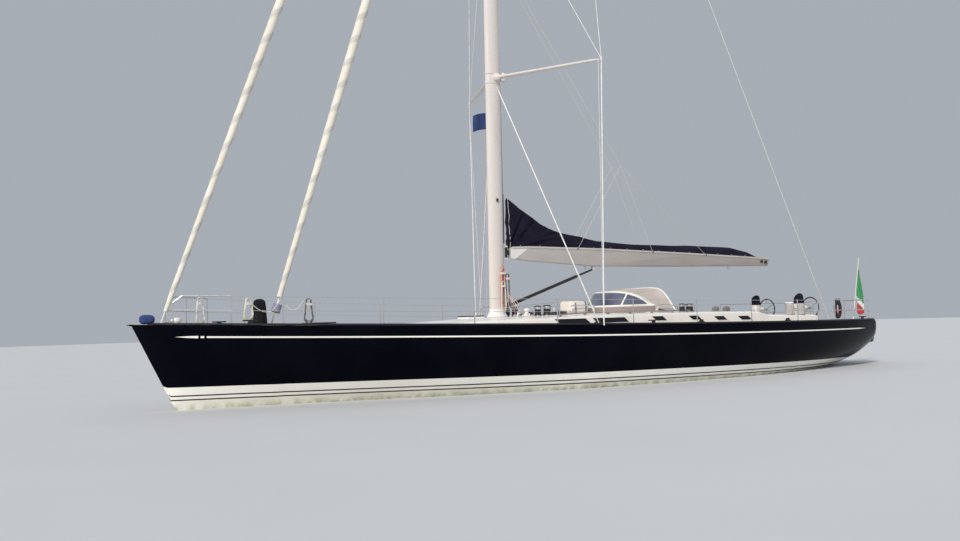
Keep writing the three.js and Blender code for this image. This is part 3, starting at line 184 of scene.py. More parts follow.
# Materials
class Finish:
    """A node material with short calls for the nodes that it is made of."""

    def __init__(self, name, color, roughness, metallic=0.0, **sockets):
        self.material = bpy.data.materials.new(name)
        self.material.use_nodes = True
        self.tree = self.material.node_tree
        self.shader = self.tree.nodes["Principled BSDF"]
        self.shader.inputs["Base Color"].default_value = (*color, 1.0)
        self.shader.inputs["Roughness"].default_value = roughness
        self.shader.inputs["Metallic"].default_value = metallic
        for socket, value in sockets.items():
            self.shader.inputs[socket.replace("_", " ")].default_value = value
        self.material.diffuse_color = (*color, 1.0)
        self.coordinates = self.tree.nodes.new("ShaderNodeTexCoord").outputs["Object"]
        self.axes = self.node("ShaderNodeSeparateXYZ", Vector=self.coordinates).outputs

    def node(self, kind, settings=None, **inputs):
        made = self.tree.nodes.new(kind)
        for key, value in (settings or {}).items():
            setattr(made, key, value)
        for key, value in inputs.items():
            self.put(value, made.inputs[key.replace("_", " ")])
        return made

    def put(self, value, socket):
        if isinstance(value, bpy.types.NodeSocket):
            self.tree.links.new(value, socket)
        else:
            socket.default_value = value

    def math(self, operation, *values):
        made = self.tree.nodes.new("ShaderNodeMath")
        made.operation = operation
        for value, socket in zip(values, made.inputs):
            self.put(value, socket)
        return made.outputs[0]

    def noise(self, scale, detail=2.0, stretch=(1.0, 1.0, 1.0)):
        mapping = self.node("ShaderNodeMapping", Vector=self.coordinates, Scale=stretch)
        made = self.node("ShaderNodeTexNoise", Vector=mapping.outputs[0], Scale=scale, Detail=detail)
        return made.outputs["Fac"]

    def spread(self, value, low, high, to_low=0.0, to_high=1.0):
        names = {"From_Min": low, "From_Max": high, "To_Min": to_low, "To_Max": to_high}
        return self.node("ShaderNodeMapRange", Value=value, **names).outputs[0]

    def mix(self, share, first, second):
        made = self.tree.nodes.new("ShaderNodeMix")
        made.data_type = "RGBA"
        rgba = [s for s in made.inputs if s.type == "RGBA"]
        self.put(share, made.inputs[0])
        for value, socket in zip((first, second), rgba):
            self.put(value if isinstance(value, bpy.types.NodeSocket) else (*value, 1.0), socket)
        return [s for s in made.outputs if s.type == "RGBA"][0]

    def colour(self, value):
        self.put(value, self.shader.inputs["Base Color"])

    def roughness(self, value):
        self.put(value, self.shader.inputs["Roughness"])

    def worn(self, scale, detail, low, high):
        """A roughness that wanders between two values."""
        self.roughness(self.spread(self.noise(scale, detail), 0.3, 0.7, low, high))

    def bump(self, height, distance, strength=1.0):
        made = self.node("ShaderNodeBump", Height=height, Distance=distance, Strength=strength)
        if self.shader.inputs["Normal"].is_linked:
            self.put(self.shader.inputs["Normal"].links[0].from_socket, made.inputs["Normal"])
        self.put(made.outputs[0], self.shader.inputs["Normal"])
        return self


def hull_navy():
    paint = Finish("hull_navy", (0.004, 0.004, 0.009), 0.2, Specular_IOR_Level=0.03)
    haze = paint.spread(paint.noise(0.7, 3), 0.35, 0.7)
    streaks = paint.spread(paint.noise(2.2, 3, (1.0, 1.0, 0.12)), 0.55, 0.8, 0.0, 0.5)
    low = paint.spread(paint.axes["Z"], 1.1, 0.35)
    grime = paint.math("MULTIPLY", streaks, low)
    clean = paint.mix(haze, (0.0016, 0.0019, 0.0050), (0.0038, 0.0037, 0.0080))
    paint.colour(paint.mix(grime, clean, (0.007, 0.007, 0.009)))
    paint.worn(1.5, 4, 0.12, 0.24)
    paint.bump(paint.noise(0.9, 1), 0.01, 0.35)
    return paint.material


def hull_white():
    paint = Finish("hull_white", (0.82, 0.79, 0.70), 0.3, Specular_IOR_Level=0.4)
    stain = paint.spread(paint.noise(2.0, 5, (1.0, 1.0, 0.35)), 0.45, 0.75, 0.0, 0.55)
    low = paint.spread(paint.axes["Z"], 0.5, 0.1)
    paint.colour(paint.mix(paint.math("MULTIPLY", stain, low), (0.98, 0.96, 0.89), (0.74, 0.70, 0.54)))
    paint.worn(3.0, 3, 0.24, 0.42)
    return paint.material


def hull_black():
    paint = Finish("hull_black", (0.012, 0.012, 0.014), 0.3)
    paint.colour(paint.mix(paint.noise(3.0, 3), (0.009, 0.009, 0.011), (0.03, 0.03, 0.03)))
    return paint.material


def bottom_paint():
    paint = Finish("bottom_paint", (0.70, 0.68, 0.54), 0.6, Specular_IOR_Level=0.3)
    patches = paint.spread(paint.noise(1.3, 6), 0.4, 0.7)
    slime = paint.math("MULTIPLY", paint.spread(paint.noise(5.0, 5, (1.0, 1.0, 0.4)), 0.35, 0.65),
                       paint.spread(paint.axes["Z"], 0.16, 0.0))
    base = paint.mix(patches, (0.92, 0.90, 0.80), (0.84, 0.81, 0.70))
    paint.colour(paint.mix(slime, base, (0.44, 0.43, 0.25)))
    paint.bump(paint.noise(40.0, 3), 0.002, 0.4)
    return paint.material


def teak():
    plank = 0.055
    wood = Finish("teak", (0.42, 0.28, 0.16), 0.62, Specular_IOR_Level=0.3)
    row = wood.math("DIVIDE", wood.axes["Y"], plank)
    index = wood.math("FLOOR", row)
    tone = wood.node("ShaderNodeTexWhiteNoise", {"noise_dimensions": "1D"}, W=index).outputs["Value"]
    grain = wood.noise(6.0, 6, (0.6, 18.0, 18.0))
    share = wood.math("ADD", wood.math("MULTIPLY", tone, 0.55), wood.math("MULTIPLY", grain, 0.45))
    base = wood.mix(share, (0.33, 0.22, 0.125), (0.52, 0.39, 0.25))
    weathered = wood.mix(wood.spread(wood.noise(1.1, 4), 0.35, 0.75, 0.0, 0.6), base, (0.47, 0.41, 0.33))
    inside = wood.math("FRACT", row)
    edge = wood.math("MINIMUM", inside, wood.math("SUBTRACT", 1.0, inside))
    ends = wood.math("ADD", wood.math("DIVIDE", wood.axes["X"], 2.6), wood.math("MULTIPLY", tone, 7.0))
    butt = wood.math("FRACT", ends)
    seam = wood.math("MAXIMUM", wood.math("LESS_THAN", edge, 0.05), wood.math("LESS_THAN", butt, 0.0022))
    wood.colour(wood.mix(seam, weathered, (0.02, 0.02, 0.02)))
    wood.bump(wood.math("SUBTRACT", grain, wood.math("MULTIPLY", seam, 1.5)), 0.001, 0.6)
    return wood.material


def gelcoat():
    shell = Finish("gelcoat", (0.83, 0.82, 0.78), 0.26, Specular_IOR_Level=0.5)
    dust = shell.spread(shell.noise(1.6, 5), 0.45, 0.8, 0.0, 0.5)
    shell.colour(shell.mix(dust, (0.87, 0.855, 0.83), (0.74, 0.72, 0.68)))
    shell.worn(2.4, 3, 0.2, 0.38)
    shell.bump(shell.noise(60.0, 2), 0.0006, 0.3)
    return shell.material


def spar_paint():
    paint = Finish("spar_paint", (0.86, 0.84, 0.78), 0.3, Specular_IOR_Level=0.45)
    streaks = paint.spread(paint.noise(5.0, 5, (1.0, 1.0, 0.1)), 0.5, 0.8, 0.0, 0.6)
    paint.colour(paint.mix(streaks, (0.72, 0.675, 0.645), (0.56, 0.51, 0.48)))
    paint.worn(8.0, 3, 0.24, 0.4)
    return paint.material


def shaded_boom_paint():
    # painted shade: the boom's white paint is given as grey, standing for the shade on its sides; the darker
    # streaks are dirt
    paint = Finish("shaded_boom_paint", (0.50, 0.49, 0.49), 0.34, Specular_IOR_Level=0.4)
    streaks = paint.spread(paint.noise(3.0, 5, (0.35, 1.0, 2.2)), 0.45, 0.8, 0.0, 0.7)
    paint.colour(paint.mix(streaks, (0.58, 0.55, 0.53), (0.47, 0.44, 0.425)))
    paint.worn(6.0, 3, 0.28, 0.45)
    return paint.material


def steel(name, color, low, high):
    metal = Finish(name, color, 0.25, 1.0)
    smudges = metal.noise(14.0, 4)
    metal.colour(metal.mix(smudges, [c * 0.86 for c in color], color))
    metal.roughness(metal.spread(smudges, 0.3, 0.7, low, high))
    return metal.material


def stay_wire():
    """Pale coated wire, a little dirty."""
    wire = Finish("rigging_rod", (0.80, 0.80, 0.79), 0.4, Specular_IOR_Level=0.4)
    wire.colour(wire.mix(wire.spread(wire.noise(9.0, 4), 0.4, 0.75), (0.84, 0.84, 0.83), (0.66, 0.65, 0.63)))
    wire.bump(wire.noise(260.0, 2), 0.0006, 0.4)
    return wire.material


def dark_plastic(name="black_fitting", color=(0.018, 0.018, 0.02)):
    plastic = Finish(name, color, 0.42)
    wear = plastic.spread(plastic.noise(25.0, 5), 0.62, 0.8, 0.0, 0.5)
    plastic.colour(plastic.mix(wear, color, [c * 2 + 0.05 for c in color]))
    plastic.worn(18.0, 3, 0.34, 0.55)
    return plastic.material


def woven(name, color, faded, sheen, thread=0.0016, soft=0.85, gloss=0.25):
    """Canvas or sailcloth: a fine weave, with the colour faded in broad patches."""
    cloth = Finish(name, color, soft, Sheen_Weight=sheen, Sheen_Roughness=0.5, Specular_IOR_Level=gloss)
    patches = cloth.spread(cloth.noise(1.7, 6), 0.38, 0.72)
    speckle = cloth.spread(cloth.noise(420.0, 2), 0.3, 0.7, 0.0, 0.35)
    cloth.colour(cloth.mix(speckle, cloth.mix(patches, color, faded), [c * 0.72 for c in color]))
    turns = 2 * math.pi / thread
    along = cloth.math("ADD", cloth.axes["X"], cloth.axes["Y"])
    warp = cloth.math("SINE", cloth.math("MULTIPLY", along, turns))
    weft = cloth.math("SINE", cloth.math("MULTIPLY", cloth.axes["Z"], turns))
    cloth.bump(cloth.math("MULTIPLY", warp, weft), 0.0003, 0.35)
    cloth.bump(cloth.noise(9.0, 4), 0.006, 0.35)
    return cloth.material


def smoked_glass():
    glass = Finish("smoked_glass", (0.008, 0.009, 0.012), 0.06, Specular_IOR_Level=0.3)
    glass.colour(glass.mix(glass.noise(2.0, 3), (0.006, 0.007, 0.009), (0.012, 0.013, 0.018)))
    glass.worn(5.0, 3, 0.04, 0.12)
    return glass.material


def screen_glass():
    """Clear plastic panes, hazy with salt, that mirror the sky. Their blue-grey colour is a painted
    reflection of the sky.
    """
    glass = Finish("screen_glass", (0.10, 0.11, 0.15), 0.09, Specular_IOR_Level=0.7, Coat_Weight=0.4)
    haze = glass.spread(glass.noise(1.8, 4), 0.35, 0.75)
    # painted reflection: the blue-grey tones stand for sky seen in the clear panes; the paler patches are
    # salt haze
    glass.colour(glass.mix(haze, (0.055, 0.067, 0.115), (0.165, 0.18, 0.245)))
    glass.worn(5.0, 3, 0.06, 0.16)
    return glass.material


def faded_trim():
    """A band of wood, greyed by the weather."""
    wood = Finish("faded_trim", (0.33, 0.27, 0.25), 0.55, Specular_IOR_Level=0.35)
    grain = wood.noise(8.0, 6, (1.0, 1.0, 20.0))
    wood.colour(wood.mix(grain, (0.205, 0.165, 0.15), (0.34, 0.285, 0.27)))
    wood.bump(grain, 0.001, 0.4)
    return wood.material


def iron_paint():
    paint = Finish("keel_paint", (0.05, 0.075, 0.11), 0.6)
    patches = paint.spread(paint.noise(2.5, 6), 0.4, 0.7)
    paint.colour(paint.mix(patches, (0.66, 0.64, 0.52), (0.52, 0.50, 0.38)))
    paint.bump(paint.noise(22.0, 5), 0.004, 0.5)
    return paint.material


def rope(name, color, fleck):
    line = Finish(name, color, 0.8, Sheen_Weight=0.3)
    line.colour(line.mix(line.spread(line.noise(240.0, 2), 0.45, 0.6), color, fleck))
    line.bump(line.noise(300.0, 2), 0.002, 0.6)
    return line.material


def flag_cloth():
    """Three bands, from the hoist's top down to the fly that hangs lowest."""
    cloth = Finish("flag_cloth", (0.8, 0.8, 0.78), 0.8, Sheen_Weight=0.3)
    height = cloth.math("ADD", cloth.axes["Z"], cloth.math("MULTIPLY", cloth.axes["X"], -0.8))
    height = cloth.math("ADD", height, cloth.math("MULTIPLY", cloth.noise(3.0, 2), 0.2))
    upper = cloth.math("GREATER_THAN", height, 11.27)
    lower = cloth.math("LESS_THAN", height, 11.05)
    banded = cloth.mix(lower, cloth.mix(upper, (0.78, 0.78, 0.76), (0.02, 0.30, 0.09)), (0.52, 0.02, 0.02))
    cloth.colour(cloth.mix(cloth.spread(cloth.noise(150.0, 2), 0.4, 0.7, 0.0, 0.25), banded, (0.3, 0.3, 0.3)))
    cloth.bump(cloth.noise(14.0, 4), 0.004, 0.5)
    return cloth.material


def floor_finish():
    paint = Finish("floor", (0.62, 0.64, 0.66), 0.75, Specular_IOR_Level=0.15)
    paint.colour(paint.mix(paint.noise(0.3, 3), (0.60, 0.62, 0.645), (0.65, 0.665, 0.68)))
    return paint.material


NAVY = hull_navy()
WHITE_STRIPE = hull_white()
BLACK_STRIPE = hull_black()
BOTTOM = bottom_paint()
TEAK = teak()
GELCOAT = gelcoat()
SPAR = spar_paint()
BOOM_SHADED_GREY = shaded_boom_paint()
STEEL = steel("stainless", (0.74, 0.75, 0.77), 0.3, 0.45)
ROD = stay_wire()
RAIL_ALLOY = steel("aluminium_rail", (0.78, 0.78, 0.77), 0.3, 0.45)
BRONZE = steel("bronze", (0.58, 0.42, 0.22), 0.28, 0.5)
BLACK = dark_plastic()
RAIL_NAVY = dark_plastic("toe_rail_paint", (0.012, 0.012, 0.018))
NAVY_CANVAS = woven("navy_canvas", (0.008, 0.007, 0.019), (0.017, 0.015, 0.036), 0.03, gloss=0.12)
BEIGE_CANVAS = woven("beige_canvas", (0.53, 0.475, 0.445), (0.68, 0.62, 0.575), 0.15)
SAILCLOTH = woven("sailcloth", (0.80, 0.76, 0.66), (0.88, 0.85, 0.78), 0.2, soft=0.7)
SUN_STRIP = woven("sun_strip", (0.62, 0.60, 0.56), (0.72, 0.70, 0.66), 0.2)
GREY_CANVAS = woven("grey_canvas", (0.16, 0.19, 0.25), (0.24, 0.27, 0.33), 0.3)
BLACK_CANVAS = woven("black_canvas", (0.010, 0.010, 0.012), (0.02, 0.02, 0.024), 0.05, gloss=0.12)
BLUE_CANVAS = woven("blue_canvas", (0.02, 0.045, 0.16), (0.05, 0.09, 0.24), 0.1)
LILAC_CANVAS = woven("lilac_canvas", (0.22, 0.23, 0.36), (0.32, 0.33, 0.46), 0.3)
PALE_CANVAS = woven("pale_canvas", (0.44, 0.42, 0.42), (0.56, 0.54, 0.53), 0.2)
RAFT_CLOTH = woven("raft_cover", (0.80, 0.74, 0.66), (0.88, 0.83, 0.76), 0.15)
RED_CLOTH = woven("red_cloth", (0.10, 0.010, 0.014), (0.17, 0.025, 0.03), 0.1)
GLASS = smoked_glass()
SCREEN_GLASS = screen_glass()
FADED_TRIM = faded_trim()
KEEL_PAINT = iron_paint()
FLAG = flag_cloth()
WHITE_ROPE = rope("white_rope", (0.76, 0.73, 0.66), (0.60, 0.56, 0.48))
RED_ROPE = rope("red_rope", (0.55, 0.06, 0.05), (0.75, 0.60, 0.52))
DARK_ROPE = rope("dark_rope", (0.03, 0.035, 0.05), (0.25, 0.25, 0.26))


# Meshes
class Shape:
    """Gathers closed bodies into one piece. A mark is the number of a body's material."""

    def __init__(self):
        self.points = []
        self.faces = []
        self.marks = []

    def add(self, points, faces, mark=0):
        start = len(self.points)
        self.points += [tuple(p) for p in points]
        self.faces += [tuple(start + i for i in face) for face in faces]
        self.marks += [mark] * len(faces)
        return self

    def quad(self, corners, mark=0):
        return self.add(corners, [(0, 1, 2, 3)], mark)

    def loft(self, rings, mark=0, closed=True, capped=True):
        """A body through rings with as many points each. closed joins a ring's last point to its first."""
        size = len(rings[0])
        turns = size if closed else size - 1
        faces = []
        for r in range(len(rings) - 1):
            for i in range(turns):
                j = (i + 1) % size
                faces.append((r * size + i, r * size + j, (r + 1) * size + j, (r + 1) * size + i))
        if capped:
            faces.append(tuple(reversed(range(size))))
            faces.append(tuple((len(rings) - 1) * size + i for i in range(size)))
        return self.add([p for ring in rings for p in ring], faces, mark)

    def tube(self, path, radius, sides=10, mark=0):
        """A round bar along a path. radius is one number, or one for each point."""
        path = [Vector(p) for p in path]
        radii = radius if hasattr(radius, "__len__") else [radius] * len(path)
        heading = (path[1] - path[0]).normalized()
        side = heading.cross(Vector((0, 0, 1)) if abs(heading.z) < 0.95 else Vector((0, 1, 0))).normalized()
        rings = []
        for k, point in enumerate(path):
            ahead = (path[min(k + 1, len(path) - 1)] - path[max(k - 1, 0)]).normalized()
            side = (side - ahead * side.dot(ahead)).normalized()
            up = ahead.cross(side)
            rings.append([point + (side * math.cos(a) + up * math.sin(a)) * radii[k] for a in angles(sides)])
        return self.loft(rings, mark)

    def turned(self, rows, place, axis=(0, 0, 1), sides=28, mark=0):
        """A turned body: rows of radius and height along the axis from its place."""
        turn = Vector((0, 0, 1)).rotation_difference(Vector(axis)).to_matrix()
        rings = []
        for radius, height in rows:
            ring = [(radius * math.cos(a), radius * math.sin(a), height) for a in angles(sides)]
            rings.append([turn @ Vector(p) + Vector(place) for p in ring])
        return self.loft(rings, mark)

    def block(self, low, high, mark=0, bevel=0.0):
        """A box with its upright edges cut at 45 degrees by the bevel, and the others by half of it."""
        (x0, y0, z0), (x1, y1, z1) = low, high
        b = max(bevel, 1e-4)

        def ring(inset, z):
            a, c, d, e = x0 + inset, x1 - inset, y0 + inset, y1 - inset
            return [(a + b, d, z), (c - b, d, z), (c, d + b, z), (c, e - b, z), (c - b, e, z), (a + b, e, z),
                    (a, e - b, z), (a, d + b, z)]

        return self.loft([ring(b / 2, z0), ring(0, z0 + b / 2), ring(0, z1 - b / 2), ring(b / 2, z1)], mark)

    def make(self, name, body, finishes, slot, sharp=38.0, welded=False):
        """The finished piece, smooth but for edges sharper than an angle in degrees."""
        mesh = bpy.data.meshes.new(name)
        mesh.from_pydata(self.points, [], self.faces)
        for finish in finishes:
            mesh.materials.append(finish)
        mesh.polygons.foreach_set("material_index", self.marks)
        work = bmesh.new()
        work.from_mesh(mesh)
        if welded:
            bmesh.ops.remove_doubles(work, verts=work.verts, dist=2e-5)
            bmesh.ops.dissolve_degenerate(work, edges=work.edges, dist=2e-5)
        bmesh.ops.recalc_face_normals(work, faces=work.faces)
        for face in work.faces:
            face.smooth = True
        for edge in work.edges:
            edge.smooth = edge.is_manifold and edge.calc_face_angle(0.0) < math.radians(sharp)
        work.to_mesh(mesh)
        work.free()
        piece = bpy.data.objects.new(name, mesh)
        bpy.context.scene.collection.objects.link(piece)
        if body:
            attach(piece, body)
        return piece


def thicken(piece, thickness, offset=-1.0):
    """Gives an open surface a thickness, with the change applied to its mesh."""
    modifier = piece.modifiers.new("thickness", "SOLIDIFY")
    modifier.thickness = thickness
    modifier.offset = offset
    modifier.use_even_offset = True
    bpy.context.view_layer.update()
    seen = piece.evaluated_get(bpy.context.evaluated_depsgraph_get())
    mesh = bpy.data.meshes.new_from_object(seen)
    piece.modifiers.clear()
    piece.data = mesh
    return piece


def finish_node(name, finish):
    """Puts a material on a node of the frame whose shape stays."""
    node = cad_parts[name]
    node.data.materials.clear()
    node.data.materials.append(finish)


# Hull form
def sheer_z(x):
    t = (BOW_X - x) / (BOW_X - TRANSOM_TOP_X)
    return SHEER_BOW + (SHEER_STERN - SHEER_BOW) * t - SHEER_SAG * 4 * t * (1 - t)


def deck_half_beam(x):
    t = (BOW_X - x) / LENGTH
    if t < WIDEST_AT:
        return HALF_BEAM * (1 - (1 - t / WIDEST_AT) ** 2.3)
    narrowing = ((t - WIDEST_AT) / (1 - WIDEST_AT)) ** 2.2
    return HALF_BEAM * (1 - (1 - TRANSOM_HALF_BEAM / HALF_BEAM) * narrowing)


def bottom_z(x):
    if x > STEM_FOOT_X:
        return SHEER_BOW * (x - STEM_FOOT_X) / (BOW_X - STEM_FOOT_X)
    if x < COUNTER_X:
        aft = COUNTER_X - x
        return 0.15 * aft + 0.16 * aft ** 2
    u = (x - DEEPEST_X) / (STEM_FOOT_X - DEEPEST_X)
    return -BODY_DRAFT * (1 - u * u) ** (0.6 if u > 0 else 1.0)


def hull_top_z(x):
    seat = sheer_z(max(x, TRANSOM_TOP_X)) - DECK_THICKNESS
    if x >= TRANSOM_TOP_X:
        return seat
    share = (TRANSOM_TOP_X - x) / (TRANSOM_TOP_X - STERN_X)
    return STERN_TIP_Z + (seat - STERN_TIP_Z) * (1 - share ** 1.6) ** (1 / 1.6)


def hull_half(x, z):
    """Half breadth of the hull at a station and height."""
    low, top = bottom_z(x), hull_top_z(x)
    narrowed = 1 - 0.25 * ((TRANSOM_TOP_X - x) / (TRANSOM_TOP_X - STERN_X)) ** 2 if x < TRANSOM_TOP_X else 1.0
    h = min(max((z - low) / (top - low), 0.0), 1.0)
    p, q = read_table(FULLNESS, x, 1), read_table(FULLNESS, x, 2)
    return deck_half_beam(x) * narrowed * (1 - (1 - h) ** p) ** (1 / q)


def deck_z(x, y):
    half = deck_half_beam(x)
    return sheer_z(x) + DECK_CAMBER * (half / HALF_BEAM) * (1 - (y / half) ** 2)


def roof_z(x, y):
    """Height of the coachroof's top at a place on it."""
    edge = read_table(COACHROOF, x, 1) - ROOF_SHOULDER
    top = read_table(COACHROOF, x, 2)
    across = min(abs(y) / edge, 1.0)
    crown = ROOF_CAMBER * (1 - 0.5 * across if across < 0.5 else 1.5 * (1 - across))
    return top + crown


def roof_side_y(x, z):
    """Distance from the centre line of the coachroof's side at a height."""
    half, top = read_table(COACHROOF, x, 1), read_table(COACHROOF, x, 2)
    foot = sheer_z(x) - 0.02
    return half - WALL_LEAN * (z - foot) / (top - SHOULDER_DROP - foot)


def mast_x(z):
    return MAST_X - MAST_RAKE * (z - MAST_FOOT_Z)


def mast_size(z):
    """The mast section's half length and half width at a height."""
    taper = 1 - 0.35 * max(0.0, z - MAST_TAPER_Z) / (MAST_TOP_Z - MAST_TAPER_Z)
    return MAST_HALF_LENGTH * taper, MAST_HALF_WIDTH * taper


# Hull skin: fine and painted in bands, a few millimetres outside the solid
HULL_PAINTS = [BOTTOM, WHITE_STRIPE, BLACK_STRIPE, NAVY]
BOTTOM_MARK, WHITE_MARK, BLACK_MARK, NAVY_MARK = range(4)


def paint_line(x, line, offset=0.0):
    return line[0] + line[1] * x + offset


def hull_rows(x):
    """Heights of the skin's rows at a station, each with the number of the paint above it."""
    low, top = bottom_z(x), hull_top_z(x)
    rim = sheer_z(x) + 0.001 if x >= TRANSOM_TOP_X else top
    cove = sheer_z(max(x, TRANSOM_TOP_X)) - COVE_BELOW_SHEER
    half_cove = read_table(COVE, x, 1)
    base = paint_line(x, LOWER_STRIPE, -LOWER_STRIPE[2])
    rows = [(low + (base - low) * (i / BOTTOM_ROWS) ** 2, BOTTOM_MARK) for i in range(BOTTOM_ROWS + 1)]
    rows[-1] = (base, BLACK_MARK)
    rows += [(paint_line(x, LOWER_STRIPE, LOWER_STRIPE[2]), WHITE_MARK),
             (paint_line(x, UPPER_STRIPE, -UPPER_STRIPE[2]), BLACK_MARK),
             (paint_line(x, UPPER_STRIPE, UPPER_STRIPE[2]), WHITE_MARK)]
    boot = max(paint_line(x, BOOT_TOP), low)
    crowd = 1 + smooth_step(0.0, 0.3, low)
    rise = cove - half_cove - boot
    rows += [(boot + rise * (i / TOPSIDE_ROWS) ** crowd, NAVY_MARK) for i in range(TOPSIDE_ROWS)]
    rows.append((cove - half_cove, WHITE_MARK))
    rows += [(z, NAVY_MARK) for z in (cove + half_cove, (cove + rim) / 2, top - 0.001, rim)]
    return [(min(max(z, low), rim), mark) for z, mark in rows]


def hull_stations():
    """Closer together towards both ends, with one at each end of the cove stripe's parts."""
    even = [math.cos(math.pi * i / HULL_STATIONS) for i in range(HULL_STATIONS + 1)]
    middle, reach = (BOW_X + STERN_X) / 2, (BOW_X - STERN_X) / 2 - 0.004
    special = [row[0] for row in COVE] + [TRANSOM_TOP_X, TRANSOM_TOP_X - 0.001]
    return sorted([middle + reach * share for share in even] + special, reverse=True)


def push_clear(tree, point):
    """Moves a point of the skin out until it is clear of the solid hull's flat faces."""
    nearest, normal, _, _ = tree.find_nearest(point)
    gap = SKIN_GAP + STERN_EXTRA_GAP * smooth_step(STERN_X + 0.4, STERN_X + 0.05, point[0])
    short = gap - (Vector(point) - nearest).dot(normal)
    return tuple(Vector(point) + normal * short) if short > 0 else point


def skin_grid(tree, stations):
    """Half rings of the skin from bow to stern, each point with the paint above it."""
    grid = []
    for x in stations:
        rows = hull_rows(x)
        half_ring = [push_clear(tree, (x, hull_half(x, z), z)) for z, _ in rows]
        grid.append((half_ring, [mark for _, mark in rows]))
    return grid


def close_tail(shape, tail):
    """The skin's top aft of the transom's upper edge, between the two sides."""
    across = [math.cos(math.pi * i / TAIL_COLUMNS) for i in range(TAIL_COLUMNS + 1)]
    for (x0, y0, z0), (x1, y1, z1) in zip(tail, tail[1:]):
        for a, b in zip(across, across[1:]):
            shape.quad([(x0, a * y0, z0), (x0, b * y0, z0), (x1, b * y1, z1), (x1, a * y1, z1)], NAVY_MARK)


def hull_skin():
    shape = Shape()
    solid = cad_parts["hull"].data
    tree = BVHTree.FromPolygons([v.co for v in solid.vertices], [tuple(p.vertices) for p in solid.polygons])
    stations = hull_stations()
    grid = skin_grid(tree, stations)
    last_ring, last_marks = grid[-1]
    end_x = STERN_X - SKIN_GAP
    end = [(end_x, y, z) for _, y, z in last_ring]
    stations.append(end_x)
    grid.append((end, last_marks))
    for (_, y0, z0), (_, y1, z1) in zip(end, end[1:]):
        shape.quad([(end_x, y0, z0), (end_x, y1, z1), (end_x, -y1, z1), (end_x, -y0, z0)], NAVY_MARK)
    for (first, marks), (second, _) in zip(grid, grid[1:]):
        for i in range(len(first) - 1):
            corners = [first[i], first[i + 1], second[i + 1], second[i]]
            for side in (1, -1):
                shape.quad([(x, side * y, z) for x, y, z in corners], marks[i])
    close_tail(shape, [ring[-1] for (ring, _), x in zip(grid, stations) if x <= TRANSOM_TOP_X])
    skin = shape.make("hull_skin", ROOT, HULL_PAINTS, "hull_paint", 50, welded=True)
    return thicken(skin, SKIN_GAP, 1.0)


# Coachroof windows, with white frames along their slanted aft edges
def side_patch(shape, corners, thickness):
    """A thin plate on both of the coachroof's sides. Its corners are x and z, from the top front by the low
    edge to the top back."""
    top_front, low_front, low_back, top_back = corners
    steps = max(2, int(abs(top_front[0] - top_back[0]) / 0.12))
    outside = WINDOW_SEAT + thickness
    for side in (1, -1):
        rings = []
        for k in range(steps + 1):
            share = k / steps
            top = [a + (b - a) * share for a, b in zip(top_front, top_back)]
            low = [a + (b - a) * share for a, b in zip(low_front, low_back)]
            section = ((top, WINDOW_SEAT), (top, outside), (low, outside), (low, WINDOW_SEAT))
            rings.append([(x, side * (roof_side_y(x, z) + out), z) for (x, z), out in section])
        shape.loft(rings)


def coachroof_windows():
    glass, frames = Shape(), Shape()
    slant, edge = WINDOW_SLANT, FRAME_WIDTH
    for front, back, low, high in WINDOWS:
        above, below = high + FRAME_RIM, low - FRAME_RIM
        side_patch(glass, [(front, high), (front - slant, low), (back, low), (back + slant, high)], 0.010)
        side_patch(frames, [(back + slant, above), (back, below), (back - edge, below),
                            (back + slant - edge, above)], 0.018)
        side_patch(frames, [(front, above), (front, high), (back + slant, high),
                            (back + slant, above)], 0.014)
        side_patch(frames, [(front - slant, low), (front - slant, below), (back, below), (back, low)], 0.014)
    glass.make("coachroof_windows", ROOT, [GLASS], "dark_glass")
    frames.make("window_frames", ROOT, [GELCOAT], "deck_white")


HANDRAIL = {"front": 1.5, "length": 4.7, "inset": 0.24, "height": 0.055, "radius": 0.017}


def coachroof_handrails():
    shape = Shape()
    for side in (1, -1):
        rail = []
        for k in range(25):
            x = HANDRAIL["front"] - HANDRAIL["length"] * k / 24
            y = side * (read_table(COACHROOF, x, 1) - HANDRAIL["inset"])
            rail.append((x, y, roof_z(x, y) + HANDRAIL["height"]))
        shape.tube(rail, HANDRAIL["radius"], 8)
        for x, y, z in rail[::4]:
            shape.block((x - 0.05, y - 0.014, z - 0.07), (x + 0.05, y + 0.014, z), bevel=0.01)
    shape.make("coachroof_handrails", ROOT, [FADED_TRIM], "deck_teak")


# Teak panels on the cockpits' soles and seats: back, front, low and high y, height
COCKPIT_PANELS = [(-7.22, -3.45, -0.49, 0.49, 0.93), (-7.22, -3.45, 0.55, 1.27, 1.33),
                  (-7.22, -3.45, -1.27, -0.55, 1.33), (-10.12, -7.73, -1.42, 1.42, 1.0)]


def cockpit_panels():
    shape = Shape()
    for back, front, low_y, high_y, z in COCKPIT_PANELS:
        shape.block((back, low_y, z - 0.004), (front, high_y, z + 0.012), bevel=0.012)
    shape.make("cockpit_panels", ROOT, [TEAK], "deck_teak")


# Mast with its tracks, collars, lamp and masthead
MAST_SIDES = 36
# low end, high end, depth and half width of the track, and of its wider part behind the sail cover
MAST_TRACKS = [(3.95, 27.6, 0.022, 0.02), (3.8, 5.12, 0.04, 0.014)]
# height over the roof, and how far the collar at the mast's foot stands out there
MAST_COLLAR = [(0.0, 0.07), (0.03, 0.075), (0.06, 0.05), (0.13, 0.022), (0.20, 0.012), (0.21, 0.003)]
BAND_LIFTS = (-0.16, 0.10)  # of the bands under and over a pair of spreaders
BAND_HEIGHT = 0.06
MAST_LAMP = [(0.02, -0.12), (0.075, -0.10), (0.095, 0.0), (0.075, 0.10), (0.02, 0.13)]  # radius, height


def mast_ring(z, grow=0.0):
    a, b = mast_size(z)
    return [(mast_x(z) + (a + grow) * math.cos(angle), (b + grow) * math.sin(angle), z)
            for angle in angles(MAST_SIDES)]


